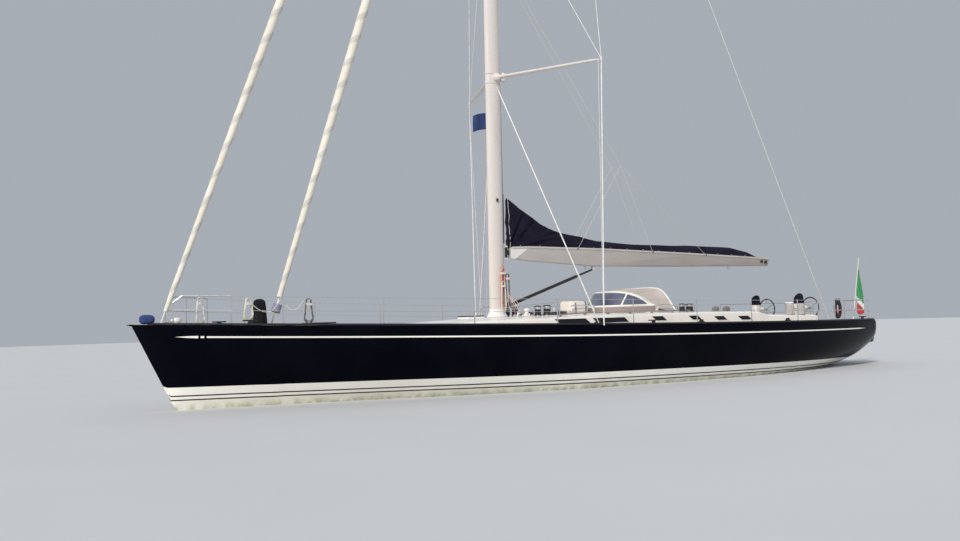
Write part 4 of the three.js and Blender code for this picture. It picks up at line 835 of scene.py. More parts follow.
def mast_bands(shape):
    for z, _, _ in SPREADERS:
        for lift in BAND_LIFTS:
            low, high = z + lift, z + lift + BAND_HEIGHT
            shape.loft([mast_ring(low, 0.004), mast_ring(low, 0.014), mast_ring(high, 0.014),
                        mast_ring(high, 0.004)])


def masthead(shape):
    """A plate with a wand and an aerial."""
    x = mast_x(MAST_TOP_Z)
    shape.block((x - 0.42, -0.05, 27.80), (x + 0.30, 0.05, 27.93), 0, 0.02)
    shape.tube([(x + 0.2, 0.0, 27.92), (x + 0.2, 0.0, 28.30), (x + 0.55, 0.0, 28.36)], 0.008, 6, 2)
    shape.tube([(x - 0.1, 0.03, 27.92), (x - 0.1, 0.03, 28.42)], 0.006, 6, 2)


def mast_lamp(shape):
    z = SPREADERS[0][0] + 0.06
    x = mast_x(z) - mast_size(z)[0] - 0.10
    shape.tube([(x + 0.1, 0, z), (x, 0, z)], 0.02, 8, 2)
    shape.turned(MAST_LAMP, (x - 0.02, 0, z), mark=0)


def mast_fittings():
    shape = Shape()
    heights = [MAST_FOOT_Z + k for k in range(26)] + [MAST_TOP_Z]
    shape.loft([mast_ring(z, 0.002) for z in heights])
    mast_bands(shape)
    foot = roof_z(MAST_X, 0)
    shape.loft([mast_ring(foot + height, grow) for height, grow in MAST_COLLAR], 1)
    for low, high, deep, half in MAST_TRACKS:
        track = [(mast_x(z) - mast_size(z)[0] + dx, dy, z) for z in (low, high)
                 for dx, dy in ((0.01, half), (-deep, half), (-deep, -half), (0.01, -half))]
        shape.loft([track[:4], track[4:]], 2)
    masthead(shape)
    mast_lamp(shape)
    for side in (1, -1):
        shape.tube([(mast_x(4.9) + 0.02, side * 0.14, z) for z in (4.9, 4.98)], 0.03, 8, 2)
    shape.make("mast_dressing", ROOT, [SPAR, GELCOAT, BLACK], "spar_paint")


# y at the mast, top z, foot's distance from the mast's aft face, foot's y, number of the finish
HALYARDS = [(0.115, 3.2, -0.20, 0.40, 0), (0.11, 3.05, -0.12, 0.30, 1), (0.115, 3.3, -0.22, 0.52, 1),
            (0.105, 2.95, -0.04, 0.24, 0), (0.12, 2.9, -0.10, 0.46, 2), (0.11, 3.15, -0.17, 0.34, 0),
            (-0.11, 3.1, -0.14, -0.30, 1), (-0.115, 2.9, -0.20, -0.42, 0), (-0.11, 3.2, -0.05, -0.36, 2)]
TURNING_BLOCK = [(0.0, 0.0), (0.035, 0.0), (0.04, 0.02), (0.035, 0.05), (0.0, 0.06)]  # radius, height
ROOF_LINES = 4  # on each side, from the blocks to the jammers


def halyard(shape, y, top, dx, deck_y, mark):
    """A line down the mast's side that leaves it low down for a block on the roof."""
    foot_x = MAST_X - MAST_HALF_LENGTH + dx
    foot_z = roof_z(foot_x, deck_y) + 0.06
    start_y = math.copysign(abs(y) + 0.025, y)
    path = []
    for k in range(13):
        t = k / 12
        z = top + (foot_z - top) * t
        clear = mast_x(z) - 0.12
        spread = smooth_step(0.35, 1.0, t)
        path.append((clear + (foot_x - clear) * spread, start_y + (deck_y - y) * spread, z))
    shape.tube(path, 0.008, 6, mark)
    shape.turned(TURNING_BLOCK, (foot_x, deck_y, foot_z - 0.06), mark=3, sides=14)


def roof_line(shape, side, k):
    """A line along the roof, from the mast's foot to a jammer."""
    start_x, start_y = MAST_X - MAST_HALF_LENGTH - 0.3, side * (0.16 + 0.07 * k)
    end_x, end_y = 0.95 - 0.05 * k, side * (0.62 + 0.05 * k)
    route = []
    for i in range(7):
        t = i / 6
        x, y = start_x + (end_x - start_x) * t, start_y + (end_y - start_y) * t
        route.append((x, y, roof_z(x, y) + 0.03))
    shape.tube(route, 0.007, 6, (k + 1) % 3)


def halyards():
    shape = Shape()
    for row in HALYARDS:
        halyard(shape, *row)
    for side in (1, -1):
        for k in range(ROOF_LINES):
            roof_line(shape, side, k)
    shape.make("halyards", ROOT, [WHITE_ROPE, RED_ROPE, DARK_ROPE, STEEL], "rigging_rod")


def rig_lines():
    """Diagonals from the spreaders' tips to the mast, and a thin line beside each cap shroud."""
    shape = Shape()
    tips = [(mast_x(z) - 0.02 - sweep, reach, z) for z, reach, sweep in SPREADERS]
    roots = [(mast_x(z) - 0.02, 0.10, z) for z, _, _ in SPREADERS]
    for side in (1, -1):
        for tip, root in ((tips[0], roots[1]), (tips[1], roots[2])):
            shape.tube([(tip[0], side * tip[1], tip[2]), (root[0], side * root[1], root[2] - 0.25)], 0.008, 6)
        lower = (tips[0][0] + 0.06, side * (tips[0][1] - 0.05), tips[0][2])
        plate = (CHAINPLATE_X - 0.12, side * CHAINPLATE_Y, deck_z(CHAINPLATE_X, CHAINPLATE_Y) + 0.02)
        shape.tube([lower, plate], 0.006, 6)
    shape.make("diagonal_stays", ROOT, [ROD], "rigging_rod")


JACKS = {"top_z": 11.6, "knot_x": -1.9, "knot_y": 0.2, "knot_z": 6.1, "feet": (-0.2, -3.0, -5.2)}


def lazy_jacks():
    """Thin lines from the mast that hold the stowed sail on its boom."""
    uppers, legs = Shape(), Shape()
    top_x, knot_x = mast_x(JACKS["top_z"]) - MAST_HALF_LENGTH - 0.01, JACKS["knot_x"]
    for side in (1, -1):
        knot = (knot_x, side * JACKS["knot_y"], JACKS["knot_z"])
        uppers.tube([(top_x, side * 0.06, JACKS["top_z"]), knot], 0.004, 6)
        for x in JACKS["feet"]:
            rim = (x, side * (read_table(BOOM, x, 3) + 0.006), read_table(BOOM, x, 2) - 0.03)
            legs.tube([knot, rim], 0.004, 6)
    upper = uppers.make("lazy_jack_uppers", None, [WHITE_ROPE], "rigging_rod")
    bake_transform(upper)
    lower = legs.make("lazy_jack_legs", None, [WHITE_ROPE], "rigging_rod")
    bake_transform(lower)


def spreader(label, side, number, z, reach, sweep):
    """An arm with a rounded section that thins towards its tip, and a boss at the mast."""
    root_x, last = mast_x(z) - 0.02, reach - SPREADER_GAP
    rings = []
    for k in range(17):
        share = k / 16
        y = 0.08 + (last - 0.08) * share
        chord, depth = (a + (b - a) * share ** 0.8 for a, b in zip(SPREADER_ROOT, SPREADER_TIP))
        rounded = math.sqrt(max(1 - max(0.0, (share - 0.985) / 0.015) ** 2, 0.0)) * 0.7 + 0.3
        middle = root_x - sweep * y / last
        rings.append([(middle + chord * rounded * math.cos(a), side * y, z + depth * rounded * math.sin(a))
                      for a in angles(20)])
    shape = Shape().loft(rings)
    shape.turned([(0.0, -0.03), (0.11, -0.03), (0.125, 0.02), (0.11, 0.09), (0.075, 0.15), (0.05, 0.17)],
                 (root_x, side * 0.1, z), (-sweep / last, side, 0), mark=0)
    piece = shape.make(f"spreader_arm_{number}_{label}", ROOT, [SPAR], "spar_paint", 50)
    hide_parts(f"spreader_{number}_{label}")


def shroud_covers():
    """White plastic tubes over the shrouds below the first spreaders."""
    shape = Shape()
    z, reach, sweep = SPREADERS[0]
    radius, start = SHROUD_COVER["radius"], SHROUD_COVER["start"]
    for side in (1, -1):
        tip = Vector((mast_x(z) - 0.02 - sweep, side * reach, z))
        head = Vector((mast_x(z), 0, z - 0.09 + MAST_HALF_WIDTH))
        for foot_y, top, end in ((CAP_CHAINPLATE_Y, tip, SHROUD_COVER["cap_end"]),
                                 (CHAINPLATE_Y, head, SHROUD_COVER["lower_end"])):
            foot = Vector((CHAINPLATE_X, side * foot_y, deck_z(CHAINPLATE_X, foot_y)))
            shape.tube([foot.lerp(top, start / (top - foot).length), foot.lerp(top, end)], radius, 10)
    shape.make("shroud_covers", ROOT, [ROD], "rigging_rod")


# Furled headsails: a roll about its stay, with the leech wound round it as a spiral
def roll_swell(share):
    """The roll's radius as a share of its fullest, at a share of the stay."""
    swell = 0.0
    for a, b in zip(ROLL, ROLL[1:]):
        if a[0] <= share <= b[0]:
            swell = a[1] + (b[1] - a[1]) * (share - a[0]) / (b[0] - a[0])
    return max(swell, LEAST_SWELL)


def furled_sail(name, foot_x, head_z, start, fullest, turns):
    foot = Vector((foot_x, 0, deck_z(foot_x, 0)))
    head = Vector((mast_x(head_z) + mast_size(head_z)[0], 0, head_z))
    along = head - foot
    length = along.length
    heading = along.normalized()
    side = heading.cross(Vector((0, 1, 0))).normalized()
    up = heading.cross(side)
    rings = []
    for k in range(ROLL_STEPS + 1):
        t = k / ROLL_STEPS
        share = start + (ROLL[-1][0] - start) * t
        radius = roll_swell(share) * fullest
        ring = []
        for i, angle in enumerate(angles(ROLL_SIDES)):
            c, s = math.cos(angle), math.sin(angle)
            wound = (i / ROLL_SIDES - t * turns) % 1.0
            step = 1 + 0.085 * (wound - 0.5) + 0.02 * noise.noise((3 * c, 3 * s, 24 * t))
            ring.append(foot + heading * (length * share) + (side * c + up * s) * (radius * step))
        rings.append(ring)
    shape = Shape().loft(rings)
    for r in range(ROLL_STEPS):
        for i in range(ROLL_SIDES):
            wound = ((i + 0.5) / ROLL_SIDES - (r + 0.5) / ROLL_STEPS * turns) % 1.0
            shape.marks[r * ROLL_SIDES + i] = 1 if wound > SUN_STRIP_START else 0
    piece = shape.make(f"{name}_roll", ROOT, [SAILCLOTH, SUN_STRIP], "sailcloth", 60)
    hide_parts(name)
    stay = Shape()
    stay.tube([foot + heading * (length * 0.001), foot + heading * (length * (start + 0.01))], 0.018, 10, 0)
    stay.tube([foot + heading * (length * 0.955), foot + heading * (length * 0.997)], 0.016, 10, 0)
    stay.turned([(0.0, 0.0), (0.045, 0.0), (0.05, 0.03), (0.05, 0.10), (0.03, 0.14), (0.0, 0.15)],
                foot + heading * (length * 0.965), heading, mark=1)
    stay.make(f"{name}_stay", ROOT, [ROD, BLACK], "rigging_rod")


# Boom dressing: end plates, rims and sheaves, riding with the boom
def boom_section(x, grow=0.0):
    low, high, top, bottom = (read_table(BOOM, x, k) for k in (1, 2, 3, 4))
    return [(x, top + grow, high), (x, top + grow, high - 0.05), (x, bottom + grow, low),
            (x, -bottom - grow, low), (x, -top - grow, high - 0.05), (x, -top - grow, high)]


# height share, and how far aft the white plate at the boom's front reaches there
BOOM_PLATE = [(0.0, 1.84), (1.0, 1.5)]
BOOM_PLATE_FRONT = 1.985


def boom_front_plate(shape, side):
    rings = []
    for k in range(9):
        share = k / 8
        back = BOOM_PLATE[0][1] + (BOOM_PLATE[1][1] - BOOM_PLATE[0][1]) * share
        ring = []
        for x, out in ((BOOM_PLATE_FRONT, -0.002), (BOOM_PLATE_FRONT, 0.008), (back, 0.008), (back, -0.002)):
            low, high, top, bottom = (read_table(BOOM, x, column) for column in (1, 2, 3, 4))
            z = low + 0.004 + (high - 0.055 - low) * share
            ring.append((x, side * (bottom + (top - bottom) * share + out), z))
        rings.append(ring)
    shape.loft(rings, 3)


BOOM_STATIONS = (1.95, 1.4, 0.6, -0.2, -0.97, -2.0, -3.2, -4.5, -5.7, -6.9, -8.07)
BOOM_RIM = ((0.014, -0.035), (0.014, 0.012), (-0.03, 0.012), (-0.03, -0.035))  # out and up
BOOM_END = ((0.0, 1.0), (0.035, 1.0), (0.055, 0.9))  # distance aft, share of the section's width
JACK_EYE = [(0.0, 0.0), (0.022, 0.0), (0.022, 0.012), (0.0, 0.014)]  # radius, height
BOOM_LOOPS = (-0.62, -6.4)
BOOM_SHEAVES = ((-7.75, 3.44), (-7.95, 3.42))  # x and z
SHEAVE = [(0.0, -0.176), (0.045, -0.176), (0.045, 0.176), (0.0, 0.176)]


def boom_rim(shape, side):
    rings = []
    for x in BOOM_STATIONS:
        y, z = side * (read_table(BOOM, x, 3) + 0.002), read_table(BOOM, x, 2)
        rings.append([(x, y + side * out, z + up) for out, up in BOOM_RIM])
    shape.loft(rings)


def boom_dressing():
    shape = Shape()
    for side in (1, -1):
        boom_front_plate(shape, side)
    for side in (1, -1):
        boom_rim(shape, side)
    end = boom_section(-8.06, 0.008)
    shape.loft([[(x - back, y * wide, z) for x, y, z in end] for back, wide in BOOM_END])
    for side in (1, -1):
        for x in JACKS["feet"]:
            y, z = side * (read_table(BOOM, x, 3) + 0.012), read_table(BOOM, x, 2) - 0.02
            shape.turned(JACK_EYE, (x, y, z), (0, side, 0), mark=1, sides=12)
    for x in BOOM_LOOPS:
        low = read_table(BOOM, x, 1)
        shape.tube([(x, -0.05, low), (x, -0.05, low - 0.05), (x, 0.0, low - 0.075), (x, 0.05, low - 0.05),
                    (x, 0.05, low)], 0.012, 8, 2)
    for x, z in BOOM_SHEAVES:
        shape.turned(SHEAVE, (x, 0, z - 0.05), (0, 1, 0), mark=1, sides=18)
    shape.make("boom_dressing", "boom", [BOOM_SHADED_GREY, BLACK, STEEL, GELCOAT], "spar_paint")


# Sail cover: canvas laid over the stowed sail, with folds that fall from its crest
COVER_STATIONS = 190
COVER_TIES = (-0.45, -2.6, -4.9)
COVER_BUTTON = [(0.0, 0.0), (0.014, 0.0), (0.010, 0.008), (0.0, 0.010)]  # radius, height


def cover_fold(x, share, side):
    """How far a fold stands out. The folds fan from the low corner near the mast, and lie along aft."""
    z = share * (read_table(COVER, x, 1) - read_table(BOOM, x, 2))
    reach, rise = COVER_CORNER[0] - x, z + COVER_CORNER[1]
    away = math.hypot(reach, rise)
    angle = math.atan2(rise, max(reach, 0.01))
    near_mast = smooth_step(3.4, 1.2, away)
    fan = noise.noise((angle * 5.2, away * 0.45, 3.7 * side)) * 0.105
    creases = (1 - abs(noise.noise((angle * 8.5 + 0.6 * away, away * 0.35, 11.0 * side)))) ** 5 * 0.055
    along = noise.noise((x * 0.55 + z * 0.9, z * 4.2, 5.0 * side)) * 0.028
    pulls = (1 - abs(noise.noise((x * 1.15 + z * 1.6, z * 1.5, 7.0 * side)))) ** 6 * 0.022
    small = noise.noise((x * 3.1, z * 4.0, 2.0 * side)) * 0.007
    fade = smooth_step(0.0, 0.14, share) * 0.85 + 0.15
    fanned = (fan + creases - 0.012) * near_mast
    lying = (along + pulls) * (1 - 0.6 * near_mast)
    return (fanned + lying + small - 0.006) * fade


def cover_ring(x, rows=22):
    crest, wide, narrow = (read_table(COVER, x, k) for k in (1, 2, 3))
    low = read_table(BOOM, x, 2) + 0.004
    wide = min(wide, read_table(BOOM, x, 3) - 0.02)
    crest += 0.012 * noise.noise((x * 1.4, 0.0, 9.0)) * smooth_step(2.0, 0.5, x)
    ring = []
    for side in (1, -1):
        flank = []
        for k in range(rows + 1):
            share = k / rows
            width = wide + (narrow - wide) * share ** 0.9 + 0.018 * math.sin(math.pi * share)
            rounded = 0.0
            if share > 0.9:
                rounded = narrow * (1 - math.sqrt(max(0.0, 1 - ((share - 0.9) / 0.1) ** 2)))
            y = max(width - rounded + cover_fold(x, share, side), 0.004)
            flank.append((x, side * y, low + (crest - low) * share))
        ring += flank if side > 0 else list(reversed(flank))[1:]
    return ring


def cover_trims(rings):
    trims = Shape()
    for edge in (0, -1):
        trims.tube([ring[edge] for ring in rings[::6]], 0.008, 8, 0)
    for x in COVER_TIES:
        ring = cover_ring(x)[1:-1]
        tie = [(px, py * 1.012 + math.copysign(0.002, py), pz + 0.001) for px, py, pz in ring]
        trims.tube(tie, 0.004, 6, 0)
    collar = [rings[1][i] for i in range(0, len(rings[0]) // 2 + 1, 2)]
    trims.tube([(x + 0.004, y + 0.006, z) for x, y, z in collar], 0.006, 6, 1)
    for k in range(15):
        x = 1.7 - 0.62 * k
        z = read_table(BOOM, x, 2) + 0.035
        for side in (1, -1):
            y = side * (min(read_table(COVER, x, 2), read_table(BOOM, x, 3) - 0.02) + 0.004)
            trims.turned(COVER_BUTTON, (x, y, z), (0, side, 0), mark=2, sides=10)
    trims.make("cover_trims", "boom", [NAVY_CANVAS, WHITE_ROPE, STEEL], "navy_canvas")


def sail_cover():
    front, back = COVER[0][0], COVER[-1][0]
    stations = [front + (back - front) * (k / COVER_STATIONS) ** 1.12 for k in range(COVER_STATIONS + 1)]
    rings = [cover_ring(x) for x in stations]
    size = len(rings[0])
    shape = Shape().loft(rings, 0, closed=False, capped=False)
    for ring in (rings[0], rings[-1]):
        for i in range(size // 2):
            shape.quad([ring[i], ring[i + 1], ring[size - 2 - i], ring[size - 1 - i]])
    skin = shape.make("mainsail_cover", "boom", [NAVY_CANVAS], "navy_canvas", 70, welded=True)
    cover = thicken(skin, 0.004)
    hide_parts("sail_cover")
    cover_trims(rings)


# Windscreen and sprayhood, in plan curved about the centre line
SCREEN_BASE = {"front": -0.78, "curve": 0.71, "half": 1.28, "z": 2.037}
# crown x, foot x, crown z, foot z, half width at the foot, how much narrower the crown is,
# and the roundness of the arch: 1 is an ellipse
HOOPS = [(-1.30, -1.98, 2.478, 1.99, 1.29, 0.30, 0.6), (-1.95, -2.25, 2.55, 1.93, 1.345, 0.37, 0.45),
         (-2.50, -2.69, 2.56, 1.87, 1.4, 0.43, 0.3)]
HOOP_SWEEP = 2  # power of the arches' curve in plan
SCREEN_AHEAD = 0.05  # the glass's top stands this far ahead of the canvas
MULLION_Y = 0.75


def hoop_point(hoop, share, inset=0.0):
    crown_x, foot_x, crown_z, foot_z, half, taper, roundness = hoop
    up = max(math.sin(math.pi * share), 0.0) ** roundness
    across = math.cos(math.pi * share)
    y = (half - inset - taper * up) * squared(across, roundness)
    x = crown_x + (foot_x - crown_x) * abs(y / half) ** HOOP_SWEEP
    return Vector((x, y, foot_z + (crown_z - inset - foot_z) * up))


def even_shares(hoop, count, fine=6000):
    """Shares of an arch whose points lie evenly along it."""
    points = [hoop_point(hoop, k / fine) for k in range(fine + 1)]
    reached = [0.0]
    for a, b in zip(points, points[1:]):
        reached.append(reached[-1] + (b - a).length)
    return [bisect.bisect_left(reached, reached[-1] * k / count) / fine for k in range(count + 1)]


ARCH_SHARES = even_shares(HOOPS[1], 72)


def screen_base_point(y, lift=0.0):
    return Vector((SCREEN_BASE["front"] - 0.05 - SCREEN_BASE["curve"] * y * y, y, SCREEN_BASE["z"] + lift))


def screen_edge(share):
    """The glass's foot and top at a share of the front arch, one straight above the other in y."""
    arch = hoop_point(HOOPS[0], share, 0.02)
    foot = screen_base_point(arch.y, 0.004)
    top = Vector((min(arch.x + SCREEN_AHEAD, foot.x), arch.y, max(arch.z, foot.z + 0.012)))
    return foot, top


def windscreen():
    glass = Shape()
    rings = []
    for share in ARCH_SHARES[1:-1]:
        foot, top = screen_edge(share)
        rings.append([foot, foot.lerp(top, 0.5) + Vector((0.015, 0, 0.006)), top])
    glass.loft(rings, 0, closed=False, capped=False)
    pane = thicken(glass.make("windscreen_glass", ROOT, [SCREEN_GLASS], "dark_glass", 60), 0.008)
    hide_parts("windscreen")
    bars = Shape()
    bars.tube([screen_edge(share)[1] + Vector((-0.004, 0, 0.004)) for share in ARCH_SHARES[1:-1]], 0.028, 12)
    bars.tube([screen_base_point(-1.28 + 2.56 * k / 40, 0.026) for k in range(41)], 0.028, 10)
    upright = min(ARCH_SHARES, key=lambda share: abs(screen_edge(share)[1].y - MULLION_Y))
    for share in (upright, 1 - upright):
        bars.tube(screen_edge(share), 0.026, 10)
    bars.make("windscreen_frame", ROOT, [GELCOAT], "deck_white")


def screen_base_trim():
    """The grey-brown band under the glass."""
    rings = []
    for k in range(41):
        y = -1.32 + 2.64 * k / 40
        front = SCREEN_BASE["front"] - SCREEN_BASE["curve"] * y * y + 0.03
        low = 1.865 if abs(y) < 1.2 else 1.88
        top = SCREEN_BASE["z"] - 0.004
        rings.append([(front + 0.052, y, low), (front + 0.012, y, top), (front - 0.002, y, top),
                      (front + 0.03, y, low)])
    Shape().loft(rings).make("screen_base_trim", ROOT, [FADED_TRIM], "deck_teak")


def hood_point(along, share):
    """A point of the canvas: along runs from the front hoop, 0, over the middle one, 1, to the aft one, 2."""
    first = min(int(along), 1)
    part = along - first
    point = hoop_point(HOOPS[first], share).lerp(hoop_point(HOOPS[first + 1], share), part)
    sag = 0.016 * math.sin(math.pi * part) * math.sin(math.pi * share)
    ripple = 0.006 * noise.noise((point.x * 2.2, point.y * 1.6, point.z * 3.0))
    pucker = 0.004 * math.sin(math.pi * part) * math.sin(26 * math.pi * share)
    middle = Vector((point.x, 0.0, 1.9))
    outwards = (point - middle).normalized()
    return point + outwards * (ripple + pucker - sag)


HOOD_SEAMS = (0.22, 0.78, 0.37, 0.63)  # places along the arch of the seams that run fore and aft


def sprayhood():
    rings = [[hood_point(2 * k / 36, share) for share in ARCH_SHARES] for k in range(37)]
    shape = Shape().loft(rings, 0, closed=False, capped=False)
    canvas = thicken(shape.make("sprayhood_canvas", ROOT, [BEIGE_CANVAS], "beige_canvas", 70), 0.004)
    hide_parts("sprayhood")
    trims = Shape()
    for hoop, radius in ((HOOPS[0], 0.010), (HOOPS[2], 0.020)):
        trims.tube([hoop_point(hoop, share, -0.004) for share in ARCH_SHARES], radius, 10, 0)
    for place in HOOD_SEAMS:
        share = ARCH_SHARES[round(place * (len(ARCH_SHARES) - 1))]
        trims.tube([hood_point(2 * k / 24, share) + Vector((0, 0, 0.003)) for k in range(25)], 0.0045, 6, 1)
    trims.tube([hood_point(1.0, share) + Vector((0, 0, 0.002)) for share in ARCH_SHARES], 0.006, 6, 1)
    for side in (1, -1):
        rail = [(-1.88, side * 1.40, 1.86), (-1.92, side * 1.41, 2.0), (-2.02, side * 1.42, 2.06),
                (-2.42, side * 1.455, 2.06), (-2.66, side * 1.47, 1.99), (-2.76, side * 1.47, 1.86)]
        trims.tube(rail, 0.012, 8, 2)
    trims.make("sprayhood_trims", ROOT, [GELCOAT, BEIGE_CANVAS, STEEL], "beige_canvas")


# Deck gear
RAFT = {"x": -0.17, "half_x": 0.34, "half_y": 0.29, "top": 2.235}
RAFT_ROUNDING = 0.09
RAFT_STRAPS = (-0.18, 0.18)
RAFT_RAIL = {"ahead": 0.09, "beside": 0.07, "height": 0.2, "corner": 0.05}


def raft_rings(low):
    x0, half_x, half_y = RAFT["x"], RAFT["half_x"], RAFT["half_y"]
    rings = []
    for k in range(25):
        t = k / 24
        z = low + (RAFT["top"] - low) * t
        grow = ((1 - abs(2 * t - 1) ** 4) ** 0.5 - 1) * RAFT_ROUNDING
        ring = []
        for angle in angles(56):
            x = (half_x + grow) * squared(math.cos(angle), 0.42)
            y = (half_y + grow) * squared(math.sin(angle), 0.42)
            dent = 0.010 * noise.noise((x * 5, y * 5, z * 6))
            crease = dent + 0.005 * math.sin(9 * x + 14 * z) * t * (1 - t) * 4
            ring.append((x0 + x * (1 + crease), y * (1 + crease), z + crease))
        rings.append(ring)
    return rings


def raft_strap(low, dx):
    back, front = RAFT["x"] + dx - 0.025, RAFT["x"] + dx + 0.025
    rings = []
    for k in range(33):
        angle = math.pi * (k / 32)
        y = (RAFT["half_y"] + 0.006) * squared(math.cos(angle), 0.32)
        z = low + (RAFT["top"] + 0.008 - low) * max(math.sin(angle), 0) ** 0.32
        under = (y * 0.985, z - 0.004)
        rings.append([(back, y, z), (front, y, z), (front, *under), (back, *under)])
    return rings


def raft_rail(low, side):
    x0, y = RAFT["x"], side * (RAFT["half_y"] + RAFT_RAIL["beside"])
    reach, corner = RAFT["half_x"] + RAFT_RAIL["ahead"], RAFT_RAIL["corner"]
    foot, top = low - 0.01, low + RAFT_RAIL["height"]
    return [(x0 + reach, y, foot), (x0 + reach, y, top - corner), (x0 + reach - corner, y, top),
            (x0 - reach + corner, y, top), (x0 - reach, y, top - corner), (x0 - reach, y, foot)]


def life_raft():
    low = roof_z(RAFT["x"], 0) + 0.012
    raft = Shape().loft(raft_rings(low)).make("life_raft_cover", ROOT, [RAFT_CLOTH], "raft_cover", 60)
    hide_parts("life_raft")
    straps = Shape()
    for dx in RAFT_STRAPS:
        straps.loft(raft_strap(low, dx), 0)
    for side in (1, -1):
        straps.tube(raft_rail(low, side), 0.014, 10, 1)
    straps.make("raft_straps", ROOT, [GREY_CANVAS, STEEL], "stainless")


WINCH = [(1.0, 0.0), (1.02, 0.05), (0.99, 0.12), (0.92, 0.20), (0.87, 0.32), (0.85, 0.5), (0.86, 0.66),
         (0.94, 0.74), (1.0, 0.77), (1.0, 0.80), (0.93, 0.82), (0.93, 0.86), (1.0, 0.88), (1.0, 0.94),
         (0.7, 0.985), (0.3, 1.0), (0.12, 1.0), (0.11, 0.97)]
# node, x, y, radius, height
WINCHES = [("halyard_winch", 1.63, 0.7, 0.095, 0.29), ("primary_winch", -3.12, 1.5, 0.115, 0.25)]
SECOND_WINCHES = [("reefing_winch", 1.34, 0.72, 0.11, 0.29), ("sheet_winch", -2.77, 1.56, 0.09, 0.26)]


def winch(name, x, y, radius, height):
    foot = roof_z(x, y) - 0.012
    shape = Shape()
    base = [(radius * 1.06, 0.0), (radius * 1.06, 0.02), (radius * 0.97, 0.03)]
    shape.turned(base, (x, y, foot), mark=1, sides=40)
    shape.turned([(r * radius, h * height) for r, h in WINCH[:6]], (x, y, foot), mark=0, sides=40)
    ribs = []
    for k in range(40):
        share = k / 39
        r, h = 0.865 - 0.02 * math.sin(math.pi * share), 0.32 + 0.38 * share
        ribs.append((r * radius + 0.0022 * math.sin(60 * share), h * height))
    shape.turned(ribs, (x, y, foot), mark=0, sides=40)
    shape.turned([(r * radius, h * height) for r, h in WINCH[6:13]], (x, y, foot), mark=1, sides=40)
    shape.turned([(r * radius, h * height) for r, h in WINCH[12:]], (x, y, foot), mark=0, sides=40)
    return shape.make(name, ROOT, [BLACK, STEEL], "stainless")


def winches():
    for name, x, y, radius, height in WINCHES + SECOND_WINCHES:
        for label, side in SIDES:
            piece = winch(f"{name}_{label}_drum", x, side * y, radius, height)
            if (name, x, y, radius, height) in WINCHES:
                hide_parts(f"{name}_{label}")


DECK_BLOCK = [(0.0, 0.0), (0.075, 0.0), (0.085, 0.02), (0.085, 0.05), (0.05, 0.07), (0.06, 0.10),
              (0.0, 0.11)]  # radius, height


def deck_fairleads():
    """Blocks and jammers: a row ahead of the hood, and turning blocks on the side decks."""
    shape = Shape()
    for side in (1, -1):
        for k in range(5):
            x, y = 0.95, side * (0.55 + 0.09 * k)
            z = roof_z(x, y)
            shape.block((x - 0.11, y - 0.03, z - 0.01), (x + 0.11, y + 0.03, z + 0.07), 0, 0.012)
            shape.tube([(x + 0.02, y, z + 0.06), (x - 0.12, y, z + 0.10)], 0.012, 6, 0)
        for x, y in ((0.95, 2.3), (-2.6, 2.45), (-6.3, 2.3)):
            z = deck_z(x, y)
            shape.turned(DECK_BLOCK, (x, side * y, z - 0.005), mark=0)
            low, high = (x - 0.5, side * y - 0.02, z - 0.005), (x + 0.5, side * y + 0.02, z + 0.022)
            shape.block(low, high, 1, 0.006)
    shape.make("deck_blocks", ROOT, [BLACK, RAIL_ALLOY], "black_fitting")


# Winches and the windlass under their covers
# name, x, y, radius, height, cloth, and whether it stands on the coachroof or else on the deck
COVERED = [("mooring_winch", -7.35, 1.52, 0.12, 0.34, PALE_CANVAS, True),
           ("helm_winch", -7.85, 1.52, 0.12, 0.34, PALE_CANVAS, True),
           ("windlass", 9.14, 0.13, 0.145, 0.58, BLACK_CANVAS, False)]


def draped_cover(name, place, radius, height, cloth):
    """A cloth pulled over a drum, with folds that widen towards its hem."""
    x, y, foot = place
    rings = []
    for k in range(24):
        t = 1 - (1 - k / 23) ** 1.7
        swell = max((1 - t ** 14) ** 0.5, 0.02)
        ring = []
        for angle in angles(60):
            c, s = math.cos(angle), math.sin(angle)
            wave = 0.07 * (1 - t) * math.sin(7 * angle + 5 * x)
            fold = 1 + wave + 0.05 * noise.noise((2 * c, 2 * s, 3 * t + x))
            reach = radius * swell * (1.0 + 0.12 * (1 - t) ** 2) * fold
            ring.append((x + reach * c, y + reach * s, foot + 0.012 + height * t))
        rings.append(ring)
    shape = Shape().loft(rings, 0, capped=False)
    shape.add(rings[-1], [tuple(range(60))])
    cover = thicken(shape.make(f"{name}_cover", ROOT, [cloth], "navy_canvas", 70, welded=True), 0.003)


def covered_winches():
    for name, x, y, radius, height, cloth, roof in COVERED:
        foot = roof_z(x, y) if roof else deck_z(x, y)
        rows = [(r * radius * 0.8, h * height * 0.9) for r, h in WINCH]
        for label, side in SIDES if roof else (("forward", 1),):
            place = (x, side * y, foot)
            turned = Shape().turned(rows, (x, side * y, foot - 0.01), sides=36)
            drum = turned.make(f"{name}_{label}", ROOT, [STEEL], "stainless")
            draped_cover(f"{name}_{label}", place, radius, height, cloth)


# Rails that guard the gear at the mast's foot, and the vents beside it
MAST_RAIL = [(2.50, 0.0), (2.46, 0.16), (2.22, 0.31), (1.20, 0.35), (1.12, 0.29), (1.12, 0.0)]  # x, height
MAST_RAIL_Y = 0.97
VENT = {"x": 2.02, "y": 0.74, "half": 0.075, "height": 0.2}


